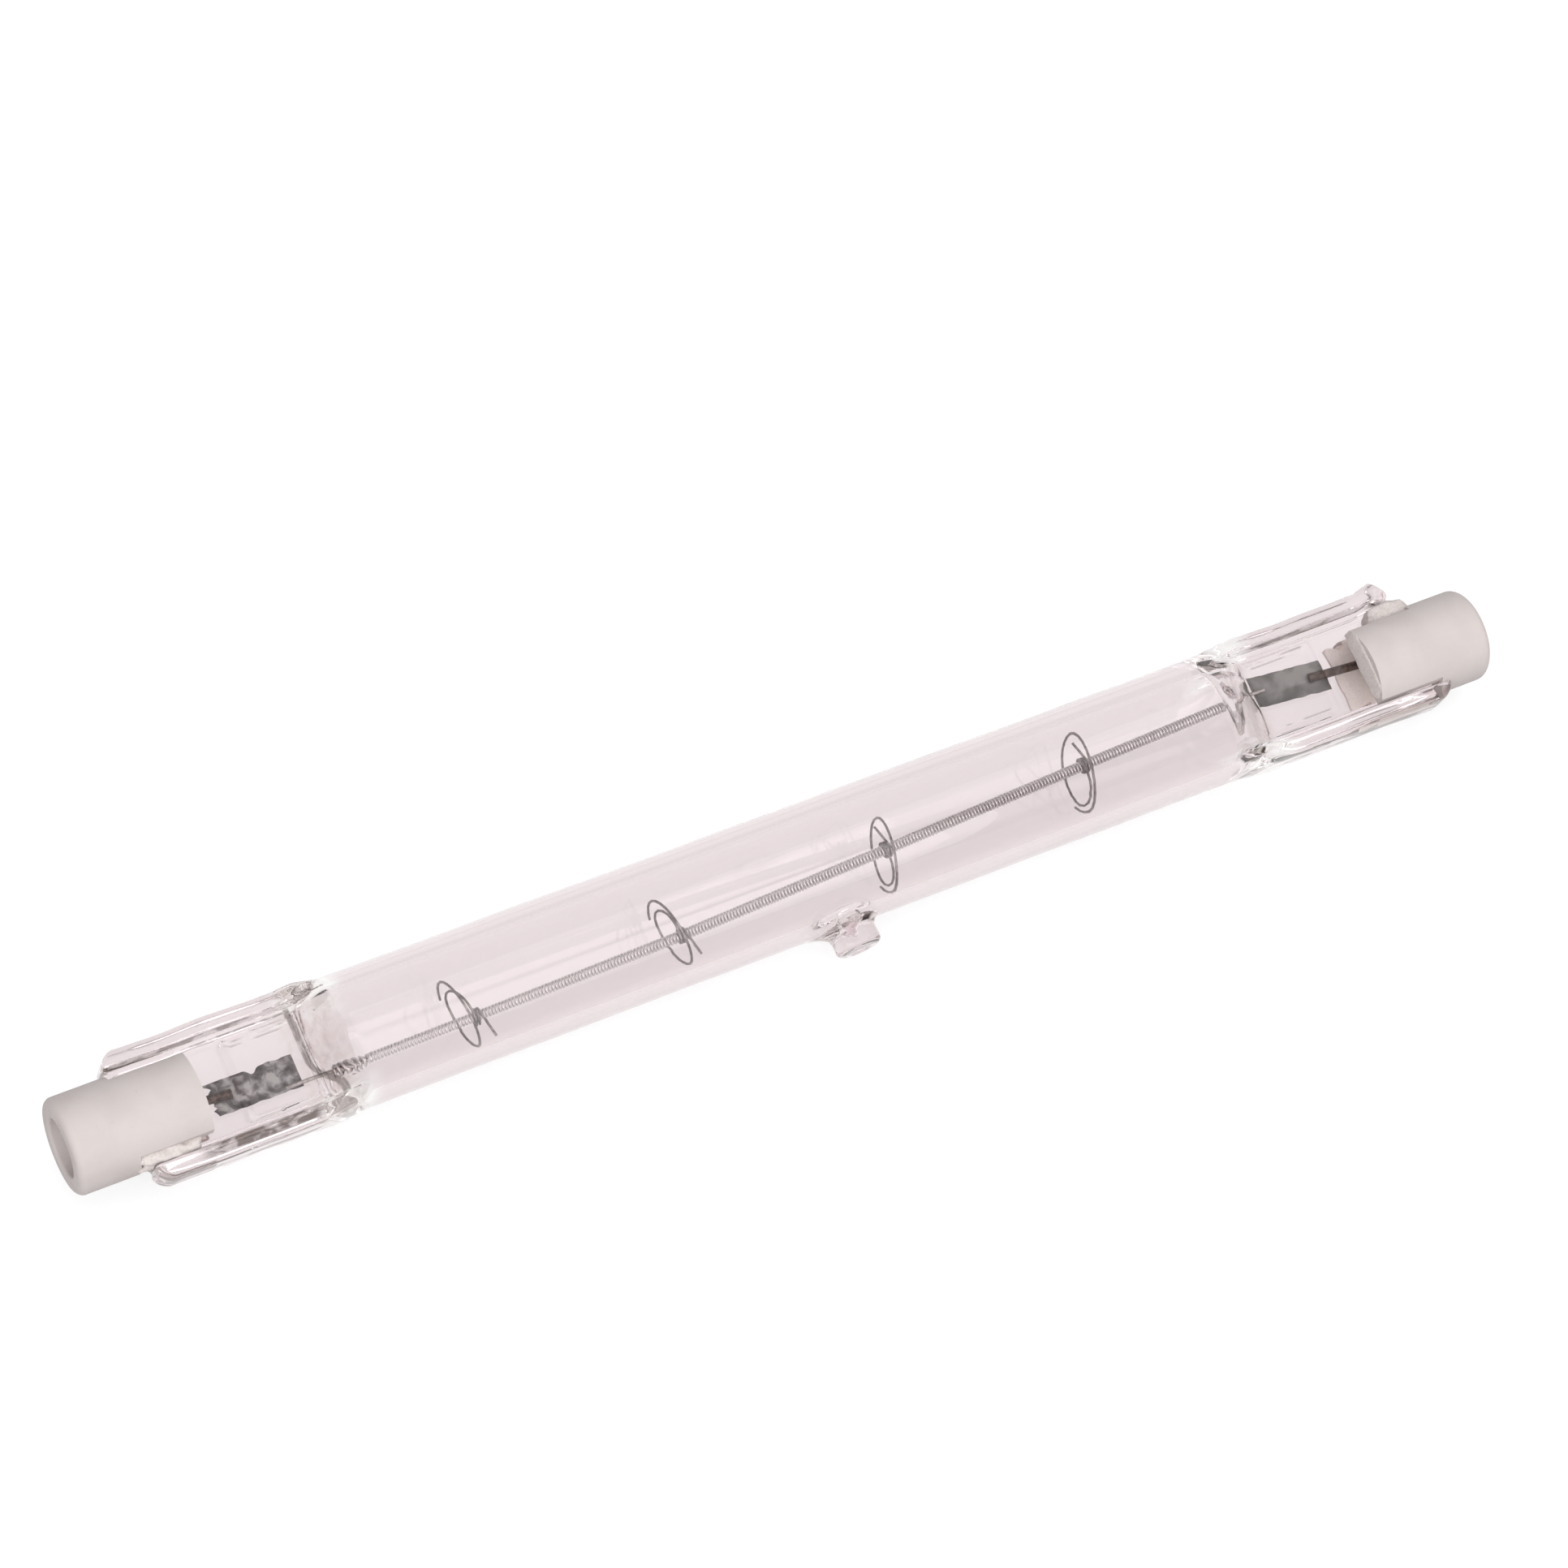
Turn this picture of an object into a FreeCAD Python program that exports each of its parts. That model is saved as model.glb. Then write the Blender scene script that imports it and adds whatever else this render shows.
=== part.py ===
"""Double-ended linear halogen bulb with recessed ceramic caps.

A quartz tube is pinched flat at both ends and closed by an exhaust tip on its side.
Inside, a coiled filament runs from end to end on four wire supports. In each pinch an
inner lead from the coil is welded to a thin foil, and an outer lead runs from the foil to
the contact in the cap. The caps are cemented over the pinches.

The bulb is drawn with its axis on X, the flat of the pinches in the XY plane and the
exhaust tip towards -Y. At the end it is rolled about X until it lies on its tube and its
tip, as it does on a table. The origin is the middle of the tube's axis.
"""

import FreeCAD, Part
import math
import os

from FreeCAD import Vector

# Driving dimensions, in millimetres

OVERALL_LENGTH = 117.6

TUBE_DIAMETER = 10.0
TUBE_WALL = 1.1
TUBE_LENGTH = 78.4
SHOULDER_RADIUS = 2.0
SHOULDER_WALL = 0.8
CAVITY_END_RADIUS = 1.6

TIP_X = 1.9
TIP_DIAMETER = 3.6
TIP_REACH = 7.0
TIP_RIM_RADIUS = 0.4
TIP_ROOT_RADIUS = 0.9
TIP_BORE_DIAMETER = 1.8
TIP_BORE_END_DIAMETER = 0.5
TIP_END_WALL = 0.9

WEB_THICKNESS = 1.8
RAIL_WIDTH = 1.35
RAIL_THICKNESS = 3.6
RAIL_EDGE_RADIUS = 0.5
RAIL_FLARE_LENGTH = 2.4
RAIL_FLARE_DEPTH = 0.7
LUG_SLOPE = 0.9
PAD_WIDTH = 5.8
PAD_LENGTH = 6.4
PAD_HEIGHT = 0.2

CAP_DIAMETER = 7.3
CAP_LENGTH = 10.2
CAP_RIM_RADIUS = 0.6
PRONG_WIDTH = 6.0
SLOT_DEPTH = 5.6
WEB_END_GAP = 0.5
RAIL_CLEARANCE = 0.1
CEMENT_THICKNESS = 0.2
CEMENT_SETBACK = 0.3

RECESS_DIAMETER = 4.4
RECESS_DEPTH = 1.7
RECESS_RIM_RADIUS = 0.25
CONTACT_DIAMETER = 3.6
CONTACT_THICKNESS = 0.5
STEM_DIAMETER = 1.8
STEM_LENGTH = 0.8

FOIL_WIDTH = 2.5
FOIL_SHARE = 0.455
FOIL_THICKNESS = 0.04
OUTER_LEAD_DIAMETER = 0.7
OUTER_WELD_LENGTH = 1.5
INNER_LEAD_DIAMETER = 0.3
INNER_WELD_LENGTH = 1.3
INNER_LEAD_INSERT = 1.6
WELD_FLAT = 0.04

COIL_DIAMETER = 0.87
COIL_BORE = 0.53
COIL_END_GAP = 0.3

SUPPORT_WIRE = 0.2
WIRE_SIDES = 8
GRIP_CLEARANCE = 0.02
GRIP_TURNS = 2
GRIP_PITCH = 0.25
LOOP_PITCH = 0.5
TAIL_LENGTH = 1.8
TAIL_LEAN = 0.28

# Turns of a support's wire, in degrees: its arm from grip to loop, its loop, and one straight run

ARM_DEGREES = 150
LOOP_DEGREES = 345
STEP_DEGREES = 15


class End:
    """One end of the bulb: which way it points and how its pieces sit as assembled."""

    def __init__(self, name, side, cap_shift, lug_gaps, bead, foil_gap, foil_y, coil_y, run_out):
        self.name = name
        self.side = side
        self.cap_shift = cap_shift
        self.lug_gaps = lug_gaps
        self.bead = bead
        self.foil_gap = foil_gap
        self.foil_y = foil_y
        self.coil_y = coil_y
        self.run_out = run_out


# Sideways places are along Y. cap_shift: how far the cap sits off the pinch's middle.
# lug_gaps: from the ends of the -Y and +Y rails to the end of the cap.
# bead: how far the glass bead on each rail end stands proud. foil_gap: from the tube's end to the foil.
# foil_y: the foil's middle at its inner and outer ends. coil_y: the coil's end.
# run_out: cement that ran out of the cap on the underside.
LEFT = End("left", -1, 0.0, (5.4, 4.6), 0.0, 1.8, (-0.72, -0.66), -1.7, 0.0)
RIGHT = End("right", 1, -0.66, (3.8, 5.5), 0.42, 0.2, (0.72, 0.12), 0.65, 1.4)
ENDS = (LEFT, RIGHT)


class Support:
    """One filament support: its grip on the coil, its loop, and how both are turned."""

    def __init__(self, share, coil_y, loop_x, loop_y, loop_radius, lean, way):
        self.x = share * TUBE_LENGTH / 2
        self.coil_y = coil_y
        self.loop_x = loop_x
        self.loop_y = loop_y
        self.loop_radius = loop_radius
        self.lean = lean
        self.way = way


# share: the grip's place on the bulb, as a share of half the tube. coil_y: the coil's place there.
# loop_x and loop_y: the loop's middle, along the bulb from the grip and sideways from the bulb's axis.
# lean: how far the loop runs along the bulb for each millimetre that it goes towards -Y.
# way: the side, along Y, that the wire goes out to from the grip.
SUPPORTS = (
    Support(-0.700, -1.58, -1.05, -0.98, 2.6, 0.17, 1),
    Support(-0.272, -1.30, -0.60, -0.80, 2.6, 0.17, 1),
    Support(0.174, -0.62, -0.26, -0.95, 2.75, -0.17, -1),
    Support(0.622, 0.13, -0.60, -0.30, 3.0, -0.15, -1),
)

# Sizes that follow from the driving dimensions

TUBE_RADIUS = TUBE_DIAMETER / 2
TUBE_END_X = TUBE_LENGTH / 2
BORE_RADIUS = TUBE_RADIUS - TUBE_WALL
CAVITY_END_X = TUBE_END_X - SHOULDER_WALL
SHOULDER_X = TUBE_END_X - SHOULDER_RADIUS
CAP_RADIUS = CAP_DIAMETER / 2
CAP_OUTER_X = OVERALL_LENGTH / 2
CAP_INNER_X = CAP_OUTER_X - CAP_LENGTH
SLOT_END_X = CAP_INNER_X + SLOT_DEPTH
WEB_END_X = SLOT_END_X - WEB_END_GAP
CONTACT_X = CAP_OUTER_X - RECESS_DEPTH
CONTACT_BACK_X = CONTACT_X - CONTACT_THICKNESS
STEM_END_X = CONTACT_BACK_X - STEM_LENGTH
CHANNEL_HALF = CAP_RADIUS + RAIL_CLEARANCE
PINCH_HALF = CHANNEL_HALF + RAIL_WIDTH
WEB_HALF = WEB_THICKNESS / 2
SLOT_HALF = WEB_HALF + CEMENT_THICKNESS
COIL_RADIUS = COIL_DIAMETER / 2
COIL_END_X = CAVITY_END_X - COIL_END_GAP
FOIL_LENGTH = FOIL_SHARE * (WEB_END_X - TUBE_END_X)
FOIL_HALF = FOIL_THICKNESS / 2
OUTER_LEAD_Z = FOIL_HALF + OUTER_LEAD_DIAMETER / 2 - WELD_FLAT
COIL_Z = FOIL_HALF + INNER_LEAD_DIAMETER / 2 - WELD_FLAT

ALONG = Vector(1, 0, 0)
TIP_WAY = Vector(0, -1, 0)
UP = Vector(0, 0, 1)
ORIGIN = Vector(0, 0, 0)
TOUCH = 1e-6
NEAR = 0.01
MITRED = 1


def rest_roll():
    """Roll about X that brings the rim of the tip down level with the underside of the tube."""
    out = TIP_REACH - TIP_RIM_RADIUS
    aside = TIP_DIAMETER / 2 - TIP_RIM_RADIUS
    drop = TUBE_RADIUS - TIP_RIM_RADIUS
    return math.degrees(math.asin(drop / math.hypot(out, aside)) - math.atan2(aside, out))


def rod(start, end, diameter):
    """Round rod between two points."""
    run = end - start
    return Part.makeCylinder(diameter / 2, run.Length, start, run)


def shaft(end, inner_x, outer_x, diameter):
    """Round shaft on the axis of an end's cap, between two distances from the bulb's middle."""
    y = end.cap_shift
    return rod(Vector(end.side * inner_x, y, 0), Vector(end.side * outer_x, y, 0), diameter)


def block(end, inner_x, outer_x, y_range, z_range):
    """Block between two distances from the bulb's middle, two sides and two heights."""
    low_x = min(end.side * inner_x, end.side * outer_x)
    size = (outer_x - inner_x, y_range[1] - y_range[0], z_range[1] - z_range[0])
    return Part.makeBox(*size, Vector(low_x, y_range[0], z_range[0]))


def edge_middle(edge):
    """Point half-way along an edge."""
    return edge.valueAt((edge.FirstParameter + edge.LastParameter) / 2)


def rounded_bar(radius, end_x, end_radius):
    """Round bar along X with a rounded shoulder at both ends."""
    bar = rod(Vector(-end_x, 0, 0), Vector(end_x, 0, 0), 2 * radius)
    return bar.makeFillet(end_radius, [edge for edge in bar.Edges if edge.Closed])


def tip_stub():
    """Fused end of the exhaust tube, with a rounded rim."""
    stub = Part.makeCylinder(TIP_DIAMETER / 2, TIP_REACH, Vector(TIP_X, 0, 0), TIP_WAY)
    rim = [edge for edge in stub.Edges if edge.Closed and edge_middle(edge).y < -TIP_REACH / 2]
    return stub.makeFillet(TIP_RIM_RADIUS, rim)


def tip_bore():
    """Tapered bore that the sealed exhaust tube leaves inside the tip."""
    wide = TIP_BORE_DIAMETER / 2
    narrow = TIP_BORE_END_DIAMETER / 2
    return Part.makeCone(wide, narrow, TIP_REACH - TIP_END_WALL, Vector(TIP_X, 0, 0), TIP_WAY)


def round_body():
    """Outside of the round tube with its shoulders and its exhaust tip."""
    body = rounded_bar(TUBE_RADIUS, TUBE_END_X, SHOULDER_RADIUS).fuse(tip_stub())
    root = []
    for edge in body.Edges:
        middle = edge_middle(edge)
        near_tip = abs(middle.x - TIP_X) < TIP_DIAMETER and middle.y < 0
        on_tube = abs(math.hypot(middle.y, middle.z) - TUBE_RADIUS) < NEAR
        if near_tip and on_tube and not isinstance(edge.Curve, Part.Line):
            root.append(edge)
    return body.makeFillet(TIP_ROOT_RADIUS, root)


def rail(end, way, end_x):
    """One thick edge of a pinch: it flares out of the tube and ends in a sloped lug."""
    start = SHOULDER_X - RAIL_FLARE_LENGTH / 2
    flared = start + RAIL_FLARE_LENGTH
    outline = (
        (start, CHANNEL_HALF - RAIL_FLARE_DEPTH),
        (flared, CHANNEL_HALF),
        (end_x, CHANNEL_HALF),
        (end_x - LUG_SLOPE, PINCH_HALF),
        (flared, PINCH_HALF),
        (start, PINCH_HALF - RAIL_FLARE_DEPTH),
    )
    corners = [Vector(end.side * x, way * y, -RAIL_THICKNESS / 2) for x, y in outline]
    bar = Part.Face(Part.makePolygon(corners + corners[:1])).extrude(UP * RAIL_THICKNESS)
    rounded = [edge for edge in bar.Edges if abs(abs(edge_middle(edge).x) - start) > TOUCH]
    bar = bar.makeFillet(min(RAIL_EDGE_RADIUS, 0.4 * RAIL_WIDTH), rounded)
    if end.bead:
        radius = (RAIL_WIDTH + end.bead) / 2
        place = Vector(end.side * (end_x - LUG_SLOPE - radius / 2), way * (PINCH_HALF + end.bead - radius), 0)
        bar = bar.fuse(Part.makeSphere(radius, place))
    return bar


def pinch(end):
    """Flat seal at one end: a web with a raised pad on each face, between two rails."""
    reach = CHANNEL_HALF + RAIL_WIDTH / 2
    pad_half = WEB_HALF + PAD_HEIGHT
    pad_sides = (-PAD_WIDTH / 2, PAD_WIDTH / 2)
    web = block(end, SHOULDER_X, WEB_END_X, (-reach, reach), (-WEB_HALF, WEB_HALF))
    pad = block(end, SHOULDER_X, TUBE_END_X + PAD_LENGTH, pad_sides, (-pad_half, pad_half))
    lower, upper = (rail(end, way, CAP_OUTER_X - gap) for way, gap in zip((-1, 1), end.lug_gaps))
    seal = web.fuse([pad, lower, upper])
    return seal.cut(shaft(end, WEB_END_X, CAP_OUTER_X, CAP_DIAMETER + 2 * RAIL_CLEARANCE))


def foil(end):
    """Thin strip sealed in the middle of the pinch."""
    inner_y, outer_y = end.foil_y
    strip = Part.makeBox(FOIL_LENGTH, FOIL_WIDTH, FOIL_THICKNESS, Vector(0, -FOIL_WIDTH / 2, -FOIL_HALF))
    strip.rotate(ORIGIN, UP, math.degrees(math.atan2(outer_y - inner_y, FOIL_LENGTH)))
    strip.translate(Vector(TUBE_END_X + end.foil_gap, inner_y, 0))
    return strip if end.side > 0 else strip.mirror(ORIGIN, ALONG)


def inner_lead(end, strip):
    """Pin from inside the coil's end to the foil, flattened at the weld."""
    start = Vector(end.side * (COIL_END_X - INNER_LEAD_INSERT), end.coil_y, COIL_Z)
    weld_x = TUBE_END_X + end.foil_gap + INNER_WELD_LENGTH
    stop = Vector(end.side * weld_x, end.coil_y, COIL_Z)
    return rod(start, stop, INNER_LEAD_DIAMETER).cut(strip)


def outer_lead(end, strip, button):
    """Lead from the foil to the contact's stem, flattened at the weld."""
    weld = FOIL_LENGTH - OUTER_WELD_LENGTH
    inner_y, outer_y = end.foil_y
    weld_y = inner_y + (outer_y - inner_y) * weld / FOIL_LENGTH
    start = Vector(end.side * (TUBE_END_X + end.foil_gap + weld), weld_y, OUTER_LEAD_Z)
    stop = Vector(end.side * CONTACT_BACK_X, end.cap_shift, OUTER_LEAD_Z)
    return rod(start, stop, OUTER_LEAD_DIAMETER).cut([strip, button])


def contact(end):
    """Contact button with a stem on its back that the lead is welded to."""
    button = shaft(end, CONTACT_BACK_X, CONTACT_X, CONTACT_DIAMETER)
    return button.fuse(shaft(end, STEM_END_X, CONTACT_BACK_X, STEM_DIAMETER))


def end_rims(body, diameter):
    """Round edges of one diameter on the outermost face of a cap."""
    rims = []
    for edge in body.Edges:
        on_face = abs(abs(edge_middle(edge).x) - CAP_OUTER_X) < TOUCH
        if edge.Closed and on_face and abs(edge.Length - math.pi * diameter) < NEAR:
            rims.append(edge)
    return rims


def cap_body(end):
    """Round ceramic body with its rounded end and the recess for the contact."""
    body = shaft(end, CAP_INNER_X, CAP_OUTER_X, CAP_DIAMETER)
    body = body.makeFillet(CAP_RIM_RADIUS, end_rims(body, CAP_DIAMETER))
    body = body.cut(shaft(end, CONTACT_X, CAP_OUTER_X, RECESS_DIAMETER))
    return body.makeFillet(RECESS_RIM_RADIUS, end_rims(body, RECESS_DIAMETER))


def cap(end, button, lead):
    """Ceramic cap: its round body, slotted and flattened into two prongs over the pinch."""
    far = CAP_DIAMETER
    half = PRONG_WIDTH / 2
    slot = block(end, CAP_INNER_X, SLOT_END_X, (-far, far), (-SLOT_HALF, SLOT_HALF))
    upper = block(end, CAP_INNER_X, SLOT_END_X, (end.cap_shift + half, far), (-far, far))
    lower = block(end, CAP_INNER_X, SLOT_END_X, (-far, end.cap_shift - half), (-far, far))
    return cap_body(end).cut([slot, upper, lower, button, lead])


def cement(end, seal, lead):
    """Cement that fills the cap's slot round the end of the pinch."""
    half = PRONG_WIDTH / 2
    sides = (end.cap_shift - half, end.cap_shift + half)
    start = CAP_INNER_X + CEMENT_SETBACK
    fill = block(end, start, SLOT_END_X, sides, (-SLOT_HALF, SLOT_HALF))
    if end.run_out:
        fill = fill.fuse(block(end, CAP_INNER_X - end.run_out, start, sides, (-SLOT_HALF, 0)))
    return fill.cut([seal, lead])


def coil_line():
    """Points of the coil's middle line: its two ends and the four supports."""
    points = [Vector(-COIL_END_X, LEFT.coil_y, COIL_Z)]
    points += [Vector(support.x, support.coil_y, COIL_Z) for support in SUPPORTS]
    points.append(Vector(COIL_END_X, RIGHT.coil_y, COIL_Z))
    return points


def round_section(path, diameter):
    """Circle across the start of a wire."""
    first = path.OrderedEdges[0]
    start = first.FirstParameter
    return Part.Wire(Part.Circle(first.valueAt(start), first.tangentAt(start), diameter / 2).toShape())


def mitred_bar(path, diameter):
    """Round bar along straight runs, mitred where they meet."""
    return path.makePipeShell([round_section(path, diameter)], True, False, MITRED)


def filament():
    """Coiled filament as a sleeve of the coil's own outside and bore."""
    line = Part.makePolygon(coil_line())
    return mitred_bar(line, COIL_DIAMETER).cut(mitred_bar(line, COIL_BORE))


def between(start, stop, share):
    """Value a share of the way from start to stop."""
    return start + (stop - start) * share


def support_point(support, turned):
    """Point on the middle of a support's wire, after so many degrees from the start of its grip."""
    gripped = min(turned, GRIP_TURNS * 360)
    loose = turned - gripped
    arm = min(loose / ARM_DEGREES, 1)
    grown = arm * arm * (3 - 2 * arm)
    radius = between(COIL_RADIUS + GRIP_CLEARANCE + SUPPORT_WIRE / 2, support.loop_radius, grown)
    y = between(support.coil_y, support.loop_y, grown)
    y += support.way * radius * math.sin(math.radians(turned))
    grip_x = support.x + GRIP_PITCH * (GRIP_TURNS / 2 - gripped / 360)
    loop_x = support.x + support.loop_x + LOOP_PITCH * (0.5 - loose / (ARM_DEGREES + LOOP_DEGREES))
    loop_x -= support.lean * (y - support.loop_y)
    return Vector(between(grip_x, loop_x, grown), y, COIL_Z + radius * math.cos(math.radians(turned)))


def wire_outline(point, run):
    """Outline of the support wire across its run."""
    wide = (ALONG - run * ALONG.dot(run) / run.dot(run)).normalize()
    tall = run.cross(wide).normalize()
    corners = []
    for number in range(WIRE_SIDES):
        angle = 2 * math.pi * number / WIRE_SIDES
        corners.append(point + (wide * math.cos(angle) + tall * math.sin(angle)) * (SUPPORT_WIRE / 2))
    return Part.makePolygon(corners + corners[:1])


def support_wire(support):
    """One support, bent from a single wire: a straight tail, turns round the coil and an open loop."""
    whole = GRIP_TURNS * 360 + ARM_DEGREES + LOOP_DEGREES
    points = [support_point(support, turned) for turned in range(0, whole + 1, STEP_DEGREES)]
    tail = Vector(TAIL_LEAN, -1, 0) * (support.way * TAIL_LENGTH)
    points.insert(0, points[0] + tail)
    befores = points[:1] + points[:-1]
    afters = points[1:] + points[-1:]
    outlines = []
    for before, point, after in zip(befores, points, afters):
        outlines.append(wire_outline(point, after - before))
    return Part.makeLoft(outlines, True, True)


def build():
    """Every piece of the bulb by name, drawn flat and then rolled to rest."""
    pieces = {}
    seals = [pinch(end) for end in ENDS]
    sealed_in = []
    for end, seal in zip(ENDS, seals):
        strip = foil(end)
        button = contact(end)
        pin = inner_lead(end, strip)
        lead = outer_lead(end, strip, button)
        sealed_in += [strip, pin, lead]
        pieces["foil_" + end.name] = strip
        pieces["inner_lead_" + end.name] = pin
        pieces["outer_lead_" + end.name] = lead
        pieces["contact_" + end.name] = button
        pieces["cap_" + end.name] = cap(end, button, lead)
        pieces["cement_" + end.name] = cement(end, seal, lead)
    hollow = rounded_bar(BORE_RADIUS, CAVITY_END_X, CAVITY_END_RADIUS).fuse(tip_bore())
    pieces["quartz_envelope"] = round_body().fuse(seals).cut([hollow] + sealed_in)
    pieces["filament"] = filament()
    for number, support in enumerate(SUPPORTS, 1):
        pieces["filament_support_%d" % number] = support_wire(support)
    for shape in pieces.values():
        shape.rotate(ORIGIN, ALONG, rest_roll())
    return pieces


def main():
    """Write one file for each piece."""
    os.makedirs("parts", exist_ok=True)
    print("rest roll %.3f degrees" % rest_roll())
    for name, shape in build().items():
        print("%-20s solids %d valid %s volume %.4f" % (name, len(shape.Solids), shape.isValid(), shape.Volume))
        shape.exportStep("parts/%s.step" % name)


main()
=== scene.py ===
"""Dressed model of a linear halogen bulb: pinched quartz tube, coiled filament and ceramic caps."""

import logging
import math
from abc import ABC, abstractmethod
from dataclasses import dataclass
from enum import Enum
from typing import Callable, Sequence

import bmesh
import bpy
from mathutils import Matrix, Vector, noise


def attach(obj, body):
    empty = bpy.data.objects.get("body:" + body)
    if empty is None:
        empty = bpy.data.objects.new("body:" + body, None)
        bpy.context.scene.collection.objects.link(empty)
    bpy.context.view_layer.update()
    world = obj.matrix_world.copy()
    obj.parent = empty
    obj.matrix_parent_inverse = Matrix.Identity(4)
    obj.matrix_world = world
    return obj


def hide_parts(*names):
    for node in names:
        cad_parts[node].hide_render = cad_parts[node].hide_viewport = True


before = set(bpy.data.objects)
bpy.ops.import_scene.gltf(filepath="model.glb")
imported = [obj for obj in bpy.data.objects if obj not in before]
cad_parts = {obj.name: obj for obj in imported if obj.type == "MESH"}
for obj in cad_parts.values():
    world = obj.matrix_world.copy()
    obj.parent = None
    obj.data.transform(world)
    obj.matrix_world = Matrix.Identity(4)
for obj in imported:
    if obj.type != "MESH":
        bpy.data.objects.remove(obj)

LOG = logging.getLogger("linear_halogen_bulb")
PHOTO_PIXELS = 1932
MM = 0.001
MERGE_DISTANCE = 0.0005 * MM
BODY = "root"
CHANNEL_HALF = 3.75
WEB_HALF = 0.9

Colour = tuple[float, float, float]
Place = tuple[float, float, float]
Span = tuple[float, float]
Outline = list[Span]
Socket = bpy.types.NodeSocket


class Side(Enum):
    """The two ends of the bulb, by the sign of X."""

    LEFT = -1
    RIGHT = 1


def mix(start: float, stop: float, share: float) -> float:
    """Value that lies a given share of the way from start to stop."""
    return start + (stop - start) * share


def smooth(share: float) -> float:
    """Smooth step of a share that is held between 0 and 1."""
    held = min(max(share, 0.0), 1.0)
    return held * held * (3 - 2 * held)


def mm(first: float, second: float) -> Span:
    """A pair of lengths in metres from millimetres."""
    return first * MM, second * MM


def arc(middle: Span, radius: float, start: float, turn: float, steps: int) -> Outline:
    """Points of an arc, with both its ends.

    Args:
        middle: Middle of the arc.
        radius: Radius of the arc.
        start: Angle of its first point in degrees.
        turn: Angle that it goes through in degrees.
        steps: Number of steps from its first point to its last.

    Returns:
        Points as pairs of coordinates.
    """
    angles = [math.radians(start + turn * step / steps) for step in range(steps + 1)]
    return [(middle[0] + radius * math.cos(angle), middle[1] + radius * math.sin(angle)) for angle in angles]


@dataclass(frozen=True)
class RestPose:
    """How the bulb lies: on the underside of the tube and on the rim of its tip.

    Sizes are in millimetres, in the bulb's own axes: X along it, Y across the flat pinch, Z square to it.
    """

    tube_radius: float = 5.0
    tip_radius: float = 1.8
    tip_reach: float = 7.0
    tip_rim: float = 0.4

    @property
    def roll(self) -> float:
        """Roll about X that brings the tip's rim level with the underside of the tube.

        Returns:
            The angle in radians.
        """
        out = self.tip_reach - self.tip_rim
        aside = self.tip_radius - self.tip_rim
        drop = self.tube_radius - self.tip_rim
        return math.asin(drop / math.hypot(out, aside)) - math.atan2(aside, out)

    @property
    def floor_height(self) -> float:
        """Height of the floor under the bulb, in metres."""
        return -self.tube_radius * MM

    def lay(self, piece: bpy.types.Object) -> None:
        """Scales a piece drawn in millimetres to metres and rolls it to rest, in its mesh."""
        piece.data.transform(Matrix.Rotation(self.roll, 4, "X") @ Matrix.Scale(MM, 4))
        piece.data.update()


REST = RestPose()


def clear_selection() -> None:
    """Leaves object mode's selection empty."""
    bpy.ops.object.select_all(action="DESELECT")


def select_only(piece: bpy.types.Object) -> None:
    """Makes one piece the only one selected, and the active one.

    Args:
        piece: The piece to select.
    """
    clear_selection()
    piece.select_set(True)
    bpy.context.view_layer.objects.active = piece


def points_in(piece: bpy.types.Object) -> bool:
    """Tells which way a closed piece's faces point.

    Args:
        piece: The piece to measure.

    Returns:
        True where they point into it, so that its volume counts as less than nothing.
    """
    shell = bmesh.new()
    shell.from_mesh(piece.data)
    volume = shell.calc_volume(signed=True)
    shell.free()
    return volume < 0


def tidy_mesh(piece: bpy.types.Object, inside_out: bool = False) -> None:
    """Merges a piece's doubles and turns its faces one way.

    Args:
        piece: The piece to clean.
        inside_out: True for the wall of a hollow, whose faces point into the hollow.
    """
    select_only(piece)
    bpy.ops.object.mode_set(mode="EDIT")
    bpy.ops.mesh.select_all(action="SELECT")
    bpy.ops.mesh.remove_doubles(threshold=MERGE_DISTANCE / MM)
    bpy.ops.mesh.dissolve_degenerate(threshold=MERGE_DISTANCE / MM)
    bpy.ops.mesh.normals_make_consistent(inside=inside_out)
    bpy.ops.object.mode_set(mode="OBJECT")
    if points_in(piece) != inside_out:
        bpy.ops.object.mode_set(mode="EDIT")
        bpy.ops.mesh.flip_normals()
        bpy.ops.object.mode_set(mode="OBJECT")


def wrapped_skin(name: str, rows: int, around: int, place: Callable[[int, int], Vector]) -> bpy.types.Object:
    """Rolls a flat grid into a closed skin, such as a tube whose end rows fold together.

    Args:
        name: Name of the new piece.
        rows: Number of rows of points along the skin.
        around: Number of points round each row.
        place: Gives the place of a point from its row and its step round the row.

    Returns:
        The skin, in millimetres, with its seam and its ends merged.
    """
    clear_selection()
    bpy.ops.mesh.primitive_grid_add(x_subdivisions=rows - 1, y_subdivisions=around, size=2)
    skin = bpy.context.object
    skin.name = name
    skin.data.name = name
    for vertex in skin.data.vertices:
        row = round((vertex.co.x + 1) / 2 * (rows - 1))
        step = round((vertex.co.y + 1) / 2 * around)
        vertex.co = place(row, step % around)
    tidy_mesh(skin)
    return skin


def skin_rows(name: str, rows: list[list[Vector]]) -> bpy.types.Object:
    """Closed skin over rows of places, with as many places in each row."""
    return wrapped_skin(name, len(rows), len(rows[0]), lambda row, step: rows[row][step])


def unite(body: bpy.types.Object, extra: bpy.types.Object) -> None:
    """Fuses a second closed skin into the first one, and drops the second.

    Args:
        body: The skin that stays.
        extra: The skin that is fused into it.
    """
    select_only(body)
    union = body.modifiers.new("union", "BOOLEAN")
    union.operation = "UNION"
    union.solver = "MANIFOLD"
    union.object = extra
    bpy.ops.object.modifier_apply(modifier=union.name)
    bpy.data.objects.remove(extra, do_unlink=True)


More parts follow.
